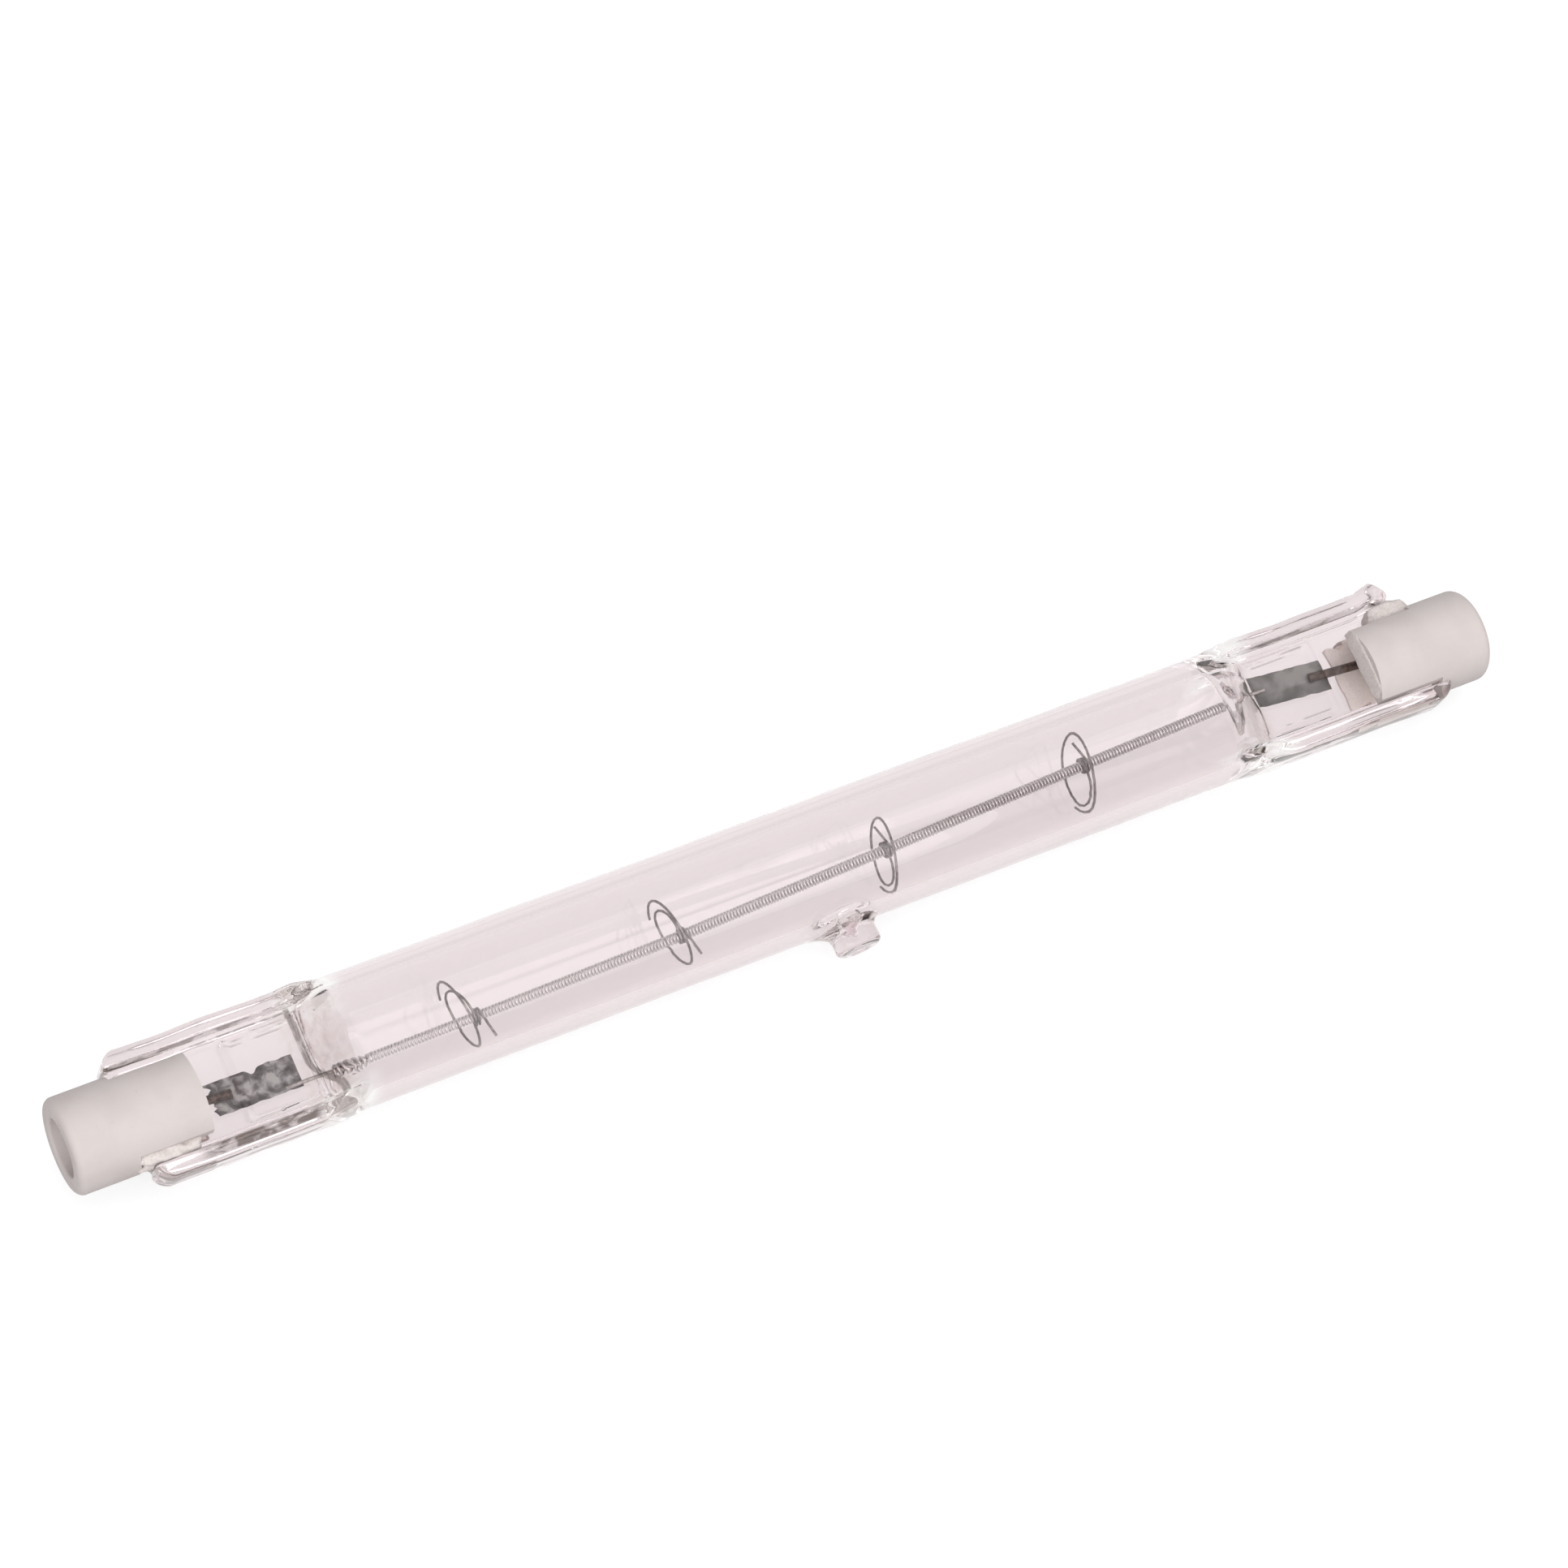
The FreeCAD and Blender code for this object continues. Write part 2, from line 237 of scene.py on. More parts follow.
def shade(piece: bpy.types.Object, degrees: float) -> None:
    """Shades a piece smooth, apart from edges sharper than an angle."""
    select_only(piece)
    bpy.ops.object.shade_smooth_by_angle(angle=math.radians(degrees))


def dress(piece: bpy.types.Object, material: bpy.types.Material) -> None:
    """Gives a whole piece one material."""
    piece.data.materials.clear()
    piece.data.materials.append(material)


def dress_node(name: str, material: bpy.types.Material) -> None:
    """Gives a node of the frame one material in each of its slots."""
    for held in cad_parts[name].material_slots:
        held.material = material


class Board:
    """A material's node tree with short ways to add and join nodes."""

    def __init__(self, name: str) -> None:
        """Starts a new material that holds only a Principled shader and its output.

        Args:
            name: Name of the material.
        """
        self.material = bpy.data.materials.new(name)
        self.material.use_nodes = True
        self.tree = self.material.node_tree
        self.shader = self.tree.nodes["Principled BSDF"]

    def set(self, **values: float | Sequence[float]) -> None:
        """Sets the shader's own sockets; a name's underscores stand for spaces."""
        for name, value in values.items():
            self.shader.inputs[name.replace("_", " ")].default_value = value

    def add(self, kind: str, **values: float | Sequence[float]) -> bpy.types.Node:
        """Adds a node and sets its input sockets.

        Args:
            kind: The node's type, without its ShaderNode prefix.
            **values: Values of its input sockets; a name's underscores stand for spaces.

        Returns:
            The new node.
        """
        node = self.tree.nodes.new("ShaderNode" + kind)
        for name, value in values.items():
            node.inputs[name.replace("_", " ")].default_value = value
        return node

    def join(self, source: Socket, target: Socket) -> None:
        """Links an output socket to an input socket."""
        self.tree.links.new(source, target)

    def place(self, turn: float = 0.0, scale: Sequence[float] = (1.0, 1.0, 1.0)) -> Socket:
        """Object coordinates in metres, turned about X and stretched.

        Args:
            turn: Turn about X in radians.
            scale: Stretch along each axis.

        Returns:
            The socket that carries the coordinates.
        """
        coordinates = self.add("TexCoord")
        mapping = self.add("Mapping", Rotation=(turn, 0.0, 0.0), Scale=scale)
        self.join(coordinates.outputs["Object"], mapping.inputs["Vector"])
        return mapping.outputs["Vector"]

    def grain(self, place: Socket, size: float, detail: float = 3.0, distortion: float = 0.0) -> Socket:
        """Noise with lumps of about one size.

        Args:
            place: Coordinates in metres.
            size: Size of a lump in metres.
            detail: Octaves of finer noise.
            distortion: How far the lumps are drawn out of shape.

        Returns:
            The socket that carries the noise, about 0.5 on average.
        """
        pattern = self.add("TexNoise", Scale=1 / size, Detail=detail, Distortion=distortion)
        self.join(place, pattern.inputs["Vector"])
        return pattern.outputs["Fac"]

    def ramp(self, value: Socket, stops: Sequence[tuple[float, Colour]]) -> Socket:
        """Colour that runs through stops as a value rises.

        Args:
            value: The value to read.
            stops: Places from 0 to 1, each with its colour.

        Returns:
            The socket that carries the colour.
        """
        node = self.add("ValToRGB")
        self.join(value, node.inputs["Fac"])
        points = node.color_ramp.elements
        while len(points) < len(stops):
            points.new(1.0)
        for point, (where, colour) in zip(points, stops):
            point.position = where
            point.color = (*colour, 1.0)
        return node.outputs["Color"]

    def span(self, value: Socket, low: float, high: float, start: float = 0.0, stop: float = 1.0) -> Socket:
        """Value moved from one range to another and held inside it.

        Args:
            value: The value to read.
            low: Value that becomes start.
            high: Value that becomes stop.
            start: New value at low.
            stop: New value at high.

        Returns:
            The socket that carries the new value.
        """
        node = self.add("MapRange")
        node.interpolation_type = "SMOOTHSTEP"
        for name, number in (("From Min", low), ("From Max", high), ("To Min", start), ("To Max", stop)):
            node.inputs[name].default_value = number
        self.join(value, node.inputs["Value"])
        return node.outputs["Result"]

    def sum(self, operation: str, first: Socket, second: Socket | float) -> Socket:
        """Arithmetic on two values.

        Args:
            operation: Name of the Math node's operation.
            first: First value.
            second: Second value, as a socket or a number.

        Returns:
            The socket that carries the answer.
        """
        node = self.add("Math")
        node.operation = operation
        self.join(first, node.inputs[0])
        if isinstance(second, float):
            node.inputs[1].default_value = second
        else:
            self.join(second, node.inputs[1])
        return node.outputs["Value"]

    def blend(self, share: Socket, first: Socket | Colour, second: Socket | Colour) -> Socket:
        """Colour that goes from the first to the second with a share.

        Args:
            share: Share of the second colour.
            first: First colour, as a socket or three numbers.
            second: Second colour, as a socket or three numbers.

        Returns:
            The socket that carries the colour.
        """
        node = self.add("MixRGB")
        self.join(share, node.inputs["Fac"])
        for name, colour in (("Color1", first), ("Color2", second)):
            if isinstance(colour, tuple):
                node.inputs[name].default_value = (*colour, 1.0)
            else:
                self.join(colour, node.inputs[name])
        return node.outputs["Color"]

    def colour(self, source: Socket) -> None:
        """Feeds the shader's base colour."""
        self.join(source, self.shader.inputs["Base Color"])

    def rough(self, source: Socket, low: float, high: float) -> None:
        """Feeds the shader's roughness from a noise, between two values."""
        self.join(self.span(source, low=0.3, high=0.7, start=low, stop=high), self.shader.inputs["Roughness"])

    def band(self, value: Socket, low: float, high: float, soft: float) -> Socket:
        """Share that is 1 while a value lies in a band and fades to 0 outside it.

        Args:
            value: The value to read.
            low: Start of the band.
            high: End of the band.
            soft: Width over which each side fades.

        Returns:
            The socket that carries the share.
        """
        rise = self.span(value, low - soft, low)
        fall = self.span(value, high, high + soft, 1.0, 0.0)
        return self.sum("MULTIPLY", rise, fall)

    def bump(self, source: Socket, depth: float, strength: float) -> None:
        """Feeds the shader's normal from a height.

        Args:
            source: The height.
            depth: Depth in metres between heights of 0 and 1.
            strength: Share of the depth that shows.
        """
        node = self.add("Bump", Distance=depth, Strength=strength)
        self.join(source, node.inputs["Height"])
        self.join(node.outputs["Normal"], self.shader.inputs["Normal"])


class Finish(ABC):
    """A finish that can make its own material."""

    @abstractmethod
    def material(self) -> bpy.types.Material:
        """Makes the material.

        Returns:
            The new material.
        """


@dataclass(frozen=True)
class QuartzGlass(Finish):
    """Clear fused quartz with a faint pink cast, smoked and scorched where the ends were heated and pinched,
    with brown lines of painted shade along its rails' and pads' edges and across the left shoulder's crease.

    The cast is on the outside alone, so that a wall seen on edge has as much of it as the hollow tube.
    Places are in metres, in the bulb's own axes. A pair is the two ends of a stretch or of a range of values.
    For the squeeze and the smoke's share it is the values at the left and at the right.
    """

    cast: Colour = (0.805, 0.722, 0.735)
    corner_cast: Colour = (0.93, 0.915, 0.91)
    bore_cast: Colour = (0.995, 0.99, 0.99)
    bore_limits: Span = mm(4.35, 4.55)
    squeeze_start: Span = mm(36.6, 35.77)
    squeeze_slope: Span = (1.444, 1.083)
    smoked: Colour = (0.62, 0.52, 0.46)
    # Dark brown of the scorched strip, also used for the lines of painted shade along the glass's edges and
    # crease.
    scorch_and_shade: Colour = (0.055, 0.038, 0.032)
    depth_tint: Colour = (0.76, 0.735, 0.725)
    depth_density: float = 20.0
    index: float = 1.458
    corner_along: Span = mm(37.0, 40.0)
    corner_across: Span = mm(3.0, 3.8)
    smoke_along: Span = mm(38.6, 40.2)
    smoke_share: Span = (0.5, 0.12)
    cloud: float = 1.2 * MM
    cloud_limits: Span = (0.40, 0.66)
    line_break: float = 2.6 * MM
    break_limits: Span = (0.42, 0.56)
    rail_line_start: Span = mm(40.0, 41.0)
    rail_line_across: Span = mm(CHANNEL_HALF - 0.02, CHANNEL_HALF + 0.12)
    rail_line_share: Span = (0.25, 0.85)
    pad_line_along: Span = mm(41.0, 44.6)
    pad_line_across: Span = mm(2.66, 2.74)
    pad_line_share: float = 0.55
    crease_shade_patch: float = 1.1 * MM
    crease_shade_share: Span = (0.35, 0.85)
    crease_along: Span = mm(-40.4, -40.05)
    crease_across: Span = mm(-3.7, 3.5)
    crease_slant: Span = mm(1.5, 0.0)
    slant_across: Span = mm(-3.6, -0.5)
    foot_along: Span = mm(-48.2, -40.6)
    foot_across: Span = mm(3.36, 3.46)
    strip_along: Span = mm(-49.0, -41.5)
    strip_across: Span = mm(-4.65, -3.95)
    strip_height: Span = mm(0.6, 1.0)
    strip_mottle: float = 0.5 * MM
    upper_face: Span = mm(0.2, 0.4)
    ripple_end: Span = mm(36.6, 38.1)
    ripple: float = 2.6 * MM
    ripple_depth: float = 0.02 * MM

    def material(self) -> bpy.types.Material:
        """Makes the material.

        Returns:
            The new material.
        """
        board = Board("quartz_glass")
        board.set(Metallic=0.0, IOR=self.index, Transmission_Weight=1.0, Roughness=0.0)
        place = board.place(turn=-REST.roll)
        axes = board.add("SeparateXYZ")
        board.join(place, axes.inputs["Vector"])
        reach = board.sum("ABSOLUTE", axes.outputs["X"], 0.0)
        cast = board.blend(self.outside(board, axes, reach), self.bore_cast, self.cast)
        cast = board.blend(self.corners(board, axes, reach), cast, self.corner_cast)
        clouds = board.span(board.grain(place, self.cloud, distortion=0.6), *self.cloud_limits)
        smoke = board.sum("MULTIPLY", board.band(reach, *self.smoke_along, soft=1.4 * MM), clouds)
        ends = (-self.smoke_along[0], self.smoke_along[0])
        heat = board.span(axes.outputs["X"], *ends, *self.smoke_share)
        cast = board.blend(board.sum("MULTIPLY", smoke, heat), cast, self.smoked)
        # Painted shade: dark lines along the rails' and pads' edges and across the shoulder's crease, in the
        # scorch colour.
        edges = self.edge_shade_lines(board, axes, reach, place)
        lines = board.sum("MAXIMUM", edges, self.crease_shade_lines(board, axes, place))
        cast = board.blend(lines, cast, self.scorch_and_shade)
        board.colour(board.blend(self.scorched_strip(board, axes), cast, self.scorch_and_shade))
        drawn = board.place(turn=-REST.roll, scale=(0.25, 1.0, 1.0))
        on_tube = board.span(reach, *self.ripple_end, 1.0, 0.0)
        ripples = board.sum("MULTIPLY", board.grain(drawn, self.ripple, detail=2.0), on_tube)
        board.bump(ripples, self.ripple_depth, strength=0.25)
        depth = board.add("VolumeAbsorption", Color=(*self.depth_tint, 1.0), Density=self.depth_density)
        board.join(depth.outputs["Volume"], board.tree.nodes["Material Output"].inputs["Volume"])
        return board.material

    def outside(self, board: Board, axes: bpy.types.Node, reach: Socket) -> Socket:
        """Share that is 1 on the outside of the glass and 0 on the wall of its hollow.

        Args:
            board: Node tree of the glass.
            axes: Node that holds the coordinates apart.
            reach: Distance from the middle of the bulb.

        Returns:
            The socket that carries the share.
        """
        squares = [board.sum("POWER", axes.outputs[name], 2.0) for name in ("Y", "Z")]
        radius = board.sum("POWER", board.sum("ADD", *squares), 0.5)
        start = board.span(axes.outputs["X"], -MM, MM, *self.squeeze_start)
        slope = board.span(axes.outputs["X"], -MM, MM, *self.squeeze_slope)
        past = board.sum("MULTIPLY", board.sum("SUBTRACT", reach, start), slope)
        height = board.sum("ADD", board.sum("ABSOLUTE", axes.outputs["Z"], 0.0), past)
        sides = board.span(radius, *self.bore_limits)
        return board.sum("MAXIMUM", sides, board.span(height, *self.bore_limits))

    def corners(self, board: Board, axes: bpy.types.Node, reach: Socket) -> Socket:
        """Share of the thick corners at the rails' roots, which need less cast.

        Args:
            board: Node tree of the glass.
            axes: Node that holds the coordinates apart.
            reach: Distance from the middle of the bulb.

        Returns:
            The socket that carries the share.
        """
        across = board.span(board.sum("ABSOLUTE", axes.outputs["Y"], 0.0), *self.corner_across)
        return board.sum("MULTIPLY", board.band(reach, *self.corner_along, soft=1.2 * MM), across)

    def edge_shade_lines(self, board: Board, axes: bpy.types.Node, reach: Socket, place: Socket) -> Socket:
        """Share of the broken brown lines of painted shade along the edges of the rails and of the pads.

        Args:
            board: Node tree of the glass.
            axes: Node that holds the coordinates apart.
            reach: Distance from the middle of the bulb.
            place: The coordinates together.

        Returns:
            The socket that carries the share.
        """
        across = board.sum("ABSOLUTE", axes.outputs["Y"], 0.0)
        broken = board.span(board.grain(place, self.line_break, detail=2.0), *self.break_limits)
        rails = board.band(across, *self.rail_line_across, soft=0.06 * MM)
        rails = board.sum("MULTIPLY", rails, board.span(reach, *self.rail_line_start))
        rails = board.sum("MULTIPLY", rails, board.span(broken, 0.0, 1.0, *self.rail_line_share))
        pads = board.band(across, *self.pad_line_across, soft=0.06 * MM)
        pads = board.sum("MULTIPLY", pads, board.band(reach, *self.pad_line_along, soft=0.4 * MM))
        pads = board.sum("MULTIPLY", pads, board.sum("MULTIPLY", broken, self.pad_line_share))
        return board.sum("MAXIMUM", rails, pads)

    def crease_shade_lines(self, board: Board, axes: bpy.types.Node, place: Socket) -> Socket:
        """Share of the brown lines of painted shade on the left pinch, across its shoulder's crease and along
        its upper rail's foot.

        Args:
            board: Node tree of the glass.
            axes: Node that holds the coordinates apart.
            place: The coordinates together.

        Returns:
            The socket that carries the share.
        """
        along, across, height = (axes.outputs[name] for name in "XYZ")
        # Noise breaks up the painted shade lines so that they come and go.
        patchy = board.span(board.grain(place, self.crease_shade_patch), 0.34, 0.52, *self.crease_shade_share)
        slant = board.span(across, *self.slant_across, *self.crease_slant)
        crease = board.band(board.sum("SUBTRACT", along, slant), *self.crease_along, soft=0.12 * MM)
        crease = board.sum("MULTIPLY", crease, board.band(across, *self.crease_across, soft=0.2 * MM))
        foot = board.band(across, *self.foot_across, soft=0.06 * MM)
        foot = board.sum("MULTIPLY", foot, board.band(along, *self.foot_along, soft=0.4 * MM))
        lines = board.sum("MULTIPLY", board.sum("MAXIMUM", crease, foot), patchy)
        return board.sum("MULTIPLY", lines, board.span(height, *self.upper_face))

    def scorched_strip(self, board: Board, axes: bpy.types.Node) -> Socket:
        """Share of the dark mottled strip along the lower rail of the left pinch.

        Args:
            board: Node tree of the glass.
            axes: Node that holds the coordinates apart.

        Returns:
            The socket that carries the share.
        """
        along = board.band(axes.outputs["X"], *self.strip_along, soft=1.5 * MM)
        across = board.band(axes.outputs["Y"], *self.strip_across, soft=0.18 * MM)
        drawn = board.place(turn=-REST.roll, scale=(0.45, 1.0, 1.0))
        spots = board.grain(drawn, self.strip_mottle, detail=5.0, distortion=0.5)
        mottle = board.span(spots, low=0.30, high=0.56, start=0.45)
        top = board.span(axes.outputs["Z"], *self.strip_height)
        return board.sum("MULTIPLY", board.sum("MULTIPLY", along, across), board.sum("MULTIPLY", mottle, top))


@dataclass(frozen=True)
class UnglazedCeramic(Finish):
    """Off-white steatite with a fine grain, faint stains and a few small specks."""

    pale: Colour = (0.59, 0.535, 0.522)
    warm: Colour = (0.56, 0.503, 0.487)
    speck: Colour = (0.51, 0.455, 0.43)
    grain: float = 0.22 * MM
    stain: float = 3.2 * MM
    speck_to_grain: float = 1.3
    speck_share: float = 0.5

    def material(self) -> bpy.types.Material:
        """Makes the material.

        Returns:
            The new material.
        """
        board = Board("unglazed_ceramic")
        board.set(Metallic=0.0, Specular_IOR_Level=0.35)
        place = board.place()
        stains = board.span(board.grain(place, self.stain, distortion=0.5), low=0.38, high=0.72)
        base = board.blend(stains, self.pale, self.warm)
        fine = board.grain(place, self.grain, detail=4.0)
        spots = board.grain(place, self.grain * self.speck_to_grain, detail=1.0)
        specks = board.span(spots, low=0.72, high=0.80)
        board.colour(board.blend(board.sum("MULTIPLY", specks, self.speck_share), base, self.speck))
        board.rough(fine, low=0.48, high=0.72)
        board.bump(fine, depth=0.03 * MM, strength=0.4)
        return board.material


@dataclass(frozen=True)
class DrawnWire(Finish):
    """Drawn metal wire with fine marks along it and patches of another tone."""

    name: str
    bright: Colour
    dull: Colour
    roughness: Span
    patch: float = 0.35 * MM

    def material(self) -> bpy.types.Material:
        """Makes the material.

        Returns:
            The new material.
        """
        board = Board(self.name)
        board.set(Metallic=1.0)
        place = board.place()
        patches = board.span(board.grain(place, self.patch, distortion=0.4), low=0.35, high=0.68)
        board.colour(board.blend(patches, self.bright, self.dull))
        fine = board.grain(board.place(scale=(0.2, 1.0, 1.0)), size=0.05 * MM, detail=2.0)
        board.rough(fine, *self.roughness)
        board.bump(fine, depth=0.004 * MM, strength=0.4)
        return board.material


@dataclass(frozen=True)
class SealFoil(Finish):
    """Thin etched metal foil, mottled by the heat of the pinch, with a lighter band painted along it as a
    highlight.
    """

    name: str
    dark: Colour
    middle: Colour
    light: Colour
    mottle: float
    swirl: float
    sheen_x: Span
    sheen_y: Span
    sheen_share: float = 0.12

    def material(self) -> bpy.types.Material:
        """Makes the material.

        Returns:
            The new material.
        """
        board = Board(self.name)
        board.set(Metallic=0.55)
        place = board.place(turn=-REST.roll)
        axes = board.add("SeparateXYZ")
        board.join(place, axes.inputs["Vector"])
        clouds = board.grain(place, self.mottle, detail=4.0, distortion=self.swirl)
        # Painted highlight: a lighter band where the strip would catch the light.
        along = board.band(axes.outputs["X"], *self.sheen_x, soft=0.7 * MM)
        across = board.band(axes.outputs["Y"], *self.sheen_y, soft=0.35 * MM)
        sheen = board.sum("MULTIPLY", along, across)
        tone = board.sum("ADD", board.sum("MULTIPLY", sheen, self.sheen_share), clouds)
        board.colour(board.ramp(tone, ((0.36, self.dark), (0.5, self.middle), (0.66, self.light))))
        fine = board.grain(place, size=0.12 * MM)
        board.rough(fine, low=0.32, high=0.55)
        board.bump(board.sum("ADD", clouds, fine), depth=0.03 * MM, strength=0.5)
        return board.material


@dataclass(frozen=True)
class GrainyCement(Finish):
    """Dry cement with sand in it."""

    name: str
    pale: Colour
    dark: Colour

    def material(self) -> bpy.types.Material:
        """Makes the material.

        Returns:
            The new material.
        """
        board = Board(self.name)
        board.set(Metallic=0.0)
        place = board.place()
        sand = board.grain(place, size=0.18 * MM, detail=5.0)
        board.colour(board.ramp(sand, ((0.3, self.dark), (0.6, self.pale))))
        board.rough(sand, low=0.8, high=0.95)
        board.bump(sand, depth=0.05 * MM, strength=0.7)
        return board.material


@dataclass(frozen=True)
class PaleFloor(Finish):
    """Plain white floor that shows as white to the camera and keeps its shadows."""

    tone: Colour = (0.36, 0.36, 0.36)
    lift: float = 0.74

    def material(self) -> bpy.types.Material:
        """Makes the material.

        Returns:
            The new material.
        """
        board = Board("pale_floor")
        board.set(Base_Color=(*self.tone, 1.0), Roughness=1.0, Specular_IOR_Level=0.0)
        board.set(Emission_Color=(1.0, 1.0, 1.0, 1.0))
        rays = board.add("LightPath")
        seen = board.sum("MAXIMUM", rays.outputs["Is Camera Ray"], rays.outputs["Is Glossy Ray"])
        seen = board.sum("MAXIMUM", seen, rays.outputs["Is Transmission Ray"])
        board.join(board.sum("MULTIPLY", seen, self.lift), board.shader.inputs["Emission Strength"])
        return board.material


SUPPORT_WIRE = DrawnWire("support_wire_metal", (0.30, 0.27, 0.27), (0.16, 0.14, 0.14), (0.25, 0.45))
INNER_LEAD = DrawnWire("inner_lead_metal", (0.55, 0.52, 0.51), (0.36, 0.33, 0.32), (0.3, 0.5))
OUTER_LEAD = DrawnWire("outer_lead_metal", (0.17, 0.12, 0.10), (0.06, 0.042, 0.036), (0.4, 0.6))
CONTACT_NICKEL = DrawnWire("contact_nickel", (0.66, 0.64, 0.61), (0.52, 0.49, 0.46), (0.25, 0.45))
TUNGSTEN = DrawnWire("tungsten_coil_metal", (0.66, 0.63, 0.63), (0.49, 0.465, 0.465), (0.25, 0.42))
LEFT_FOIL_METAL = SealFoil(
    "left_foil_metal", dark=(0.05, 0.045, 0.045), middle=(0.15, 0.138, 0.138), light=(0.43, 0.43, 0.42),
    mottle=0.8 * MM, swirl=0.4, sheen_x=mm(-46.2, -42.4), sheen_y=mm(-1.1, -0.4))
RIGHT_FOIL_METAL = SealFoil(
    "right_foil_metal", dark=(0.07, 0.067, 0.063), middle=(0.165, 0.165, 0.155), light=(0.29, 0.295, 0.28),
    mottle=2.4 * MM, swirl=0.2, sheen_x=mm(42.3, 44.4), sheen_y=mm(0.3, 1.4))
# The cement under the glass is painted far paler than the cement in the open, to offset the shade of the cap
# and the glass over it: painted light.
SHADE_LIFTED_CEMENT = GrainyCement("fresh_cement", pale=(0.965, 0.925, 0.88), dark=(0.90, 0.84, 0.78))
OPEN_CEMENT = GrainyCement("dusty_cement", pale=(0.69, 0.63, 0.61), dark=(0.58, 0.52, 0.495))


@dataclass(frozen=True)
class Lug:
    """How one rail of a pinch ends: where, and how far its melted bead stands out."""

    reach: float
    bead: float = 0.0


@dataclass(frozen=True)
class PinchEnd:
    """What differs between the two pinches, in millimetres.

    The squeeze says how the hollow closes: 0 for a soft step, 1 for a taper that steepens to its end.
    """

    side: Side
    upper: Lug
    lower: Lug
    cap_shift: float
    lead_y: float
    ripple_seed: float
    shoulder_x: float
    shoulder_run: float
    cavity_x: float
    squeeze: float


@dataclass
class QuartzEnvelope:
    """Blown and pinched quartz: a round tube, two flat seals with raised rails, and the sealed-off tip."""

    tube_radius: float = REST.tube_radius
    tube_wobble: float = 0.015
    wobble_rate: float = 0.12
    tube_margin: float = 0.4
    bore_radius: float = 3.9
    shoulder_bulge: float = 0.5
    shoulder_dip: float = 0.5
    dip_width: float = 0.7
    cavity_end: float = 39.3
    cavity_bow: float = 0.9
    cavity_narrowing: float = 0.12
    squeeze_power: float = 1.6
    pinch_half: float = 5.1
    channel_half: float = CHANNEL_HALF
    rail_half: float = 1.8
    web_half: float = WEB_HALF
    rail_edge: float = 0.5
    rail_inner_edge: float = 0.35
    web_fillet: float = 0.45
    draft: float = 0.04
    flare_x: float = 38.5
    flare_run: float = 2.4
    flare_depth: float = 0.7
    pad_half: float = 2.9
    pad_end: float = 45.6
    pad_height: float = 0.2
    pad_foot: float = 0.12
    pad_brow: float = 0.04
    pad_fade: float = 0.1
    settle_x: float = 37.0
    settle_run: float = 4.0
    wave_depth: float = 0.10
    wave_rate: float = 0.25
    swell_depth: float = 0.07
    swell_rate: float = 0.3
    bead_back: float = 1.3
    bead_run: float = 0.8
    row_step: float = 0.5
    straight_end: float = 51.9
    web_end: float = 53.7
    lug_slope: float = 0.9
    lug_rise: float = 0.25
    cap_room: float = 3.72
    end_rounding: float = 0.35
    tip_x: float = 1.9
    tip_radius: float = REST.tip_radius
    tip_reach: float = REST.tip_reach
    tip_rim: float = REST.tip_rim
    tip_foot: float = 4.3
    tip_shank: float = 6.05
    tip_sunk: float = 0.25
    tip_lowered: float = 0.04
    tip_unevenness: float = 0.05
    tip_lump_rates: Span = (1.3, 0.5)
    tip_lump_limit: float = 0.2
    tip_root: Span = (0.8, 0.9)
    tip_flare: Span = (1.1, 2.6)
    tip_dimple: tuple[Span, ...] = ((0.9, 0.03), (0.4, 0.10), (0.0, 0.12))
    tip_bore: float = 0.9
    tip_bore_start: float = 3.2
    tip_bore_taper: float = 4.0
    tip_bore_stop: float = 0.9
    tip_bore_power: float = 0.6
    tip_bore_sway: float = 0.25
    tip_sway_rate: float = 1.7
    tip_sway_start: float = 3.6
    tip_bore_unevenness: float = 0.6
    tip_bore_rates: Span = (1.5, 2.5)
    tip_zone: float = 5.0
    tip_step: float = 0.25
    left: PinchEnd = PinchEnd(
        Side.LEFT, upper=Lug(54.2), lower=Lug(53.4), cap_shift=0.0, lead_y=-1.7, ripple_seed=3.1,
        shoulder_x=37.0, shoulder_run=3.0, cavity_x=36.6, squeeze=0.0)
    right: PinchEnd = PinchEnd(
        Side.RIGHT, upper=Lug(53.3, bead=0.42), lower=Lug(55.0), cap_shift=-0.66, lead_y=0.65,
        ripple_seed=8.7, shoulder_x=35.4, shoulder_run=4.4, cavity_x=35.0, squeeze=1.0)

    def quarter(self, x: float, inset: float) -> Outline:
        """First quarter of the pinch's section, from the middle of a rail's back to the middle of the web.

        Args:
            x: Distance from the middle of the bulb.
            inset: How far the outline is drawn in, as at a rounded end.

        Returns:
            Points as pairs of Y and Z.
        """
        flare = self.flare_depth * (1 - smooth((x - self.flare_x) / self.flare_run))
        back = self.pinch_half - inset
        top = self.rail_half + flare - inset
        inner = self.channel_half + inset
        web = self.web_half - inset
        pad = self.pad_height * (1 - smooth((x - self.pad_end + self.pad_fade) / (2 * self.pad_fade)))
        edge, lip, fillet = self.rail_edge, self.rail_inner_edge, self.web_fillet
        points = [(back - self.draft * share * share / 9, (top - edge) * share / 3) for share in range(3)]
        points += arc((back - self.draft - edge, top - edge), edge, 0, 90, 5)
        points.append(((back - edge + inner + lip) / 2, top))
        points += arc((inner + self.draft + lip, top - lip), lip, 90, 90, 4)
        points += arc((inner - fillet, web + fillet), fillet, 0, -90, 4)
        points += [(self.pad_half + self.pad_foot, web), (self.pad_half - self.pad_brow, web + pad)]
        points += [(self.pad_half * share / 3, web + pad) for share in (2, 1, 0)]
        return points

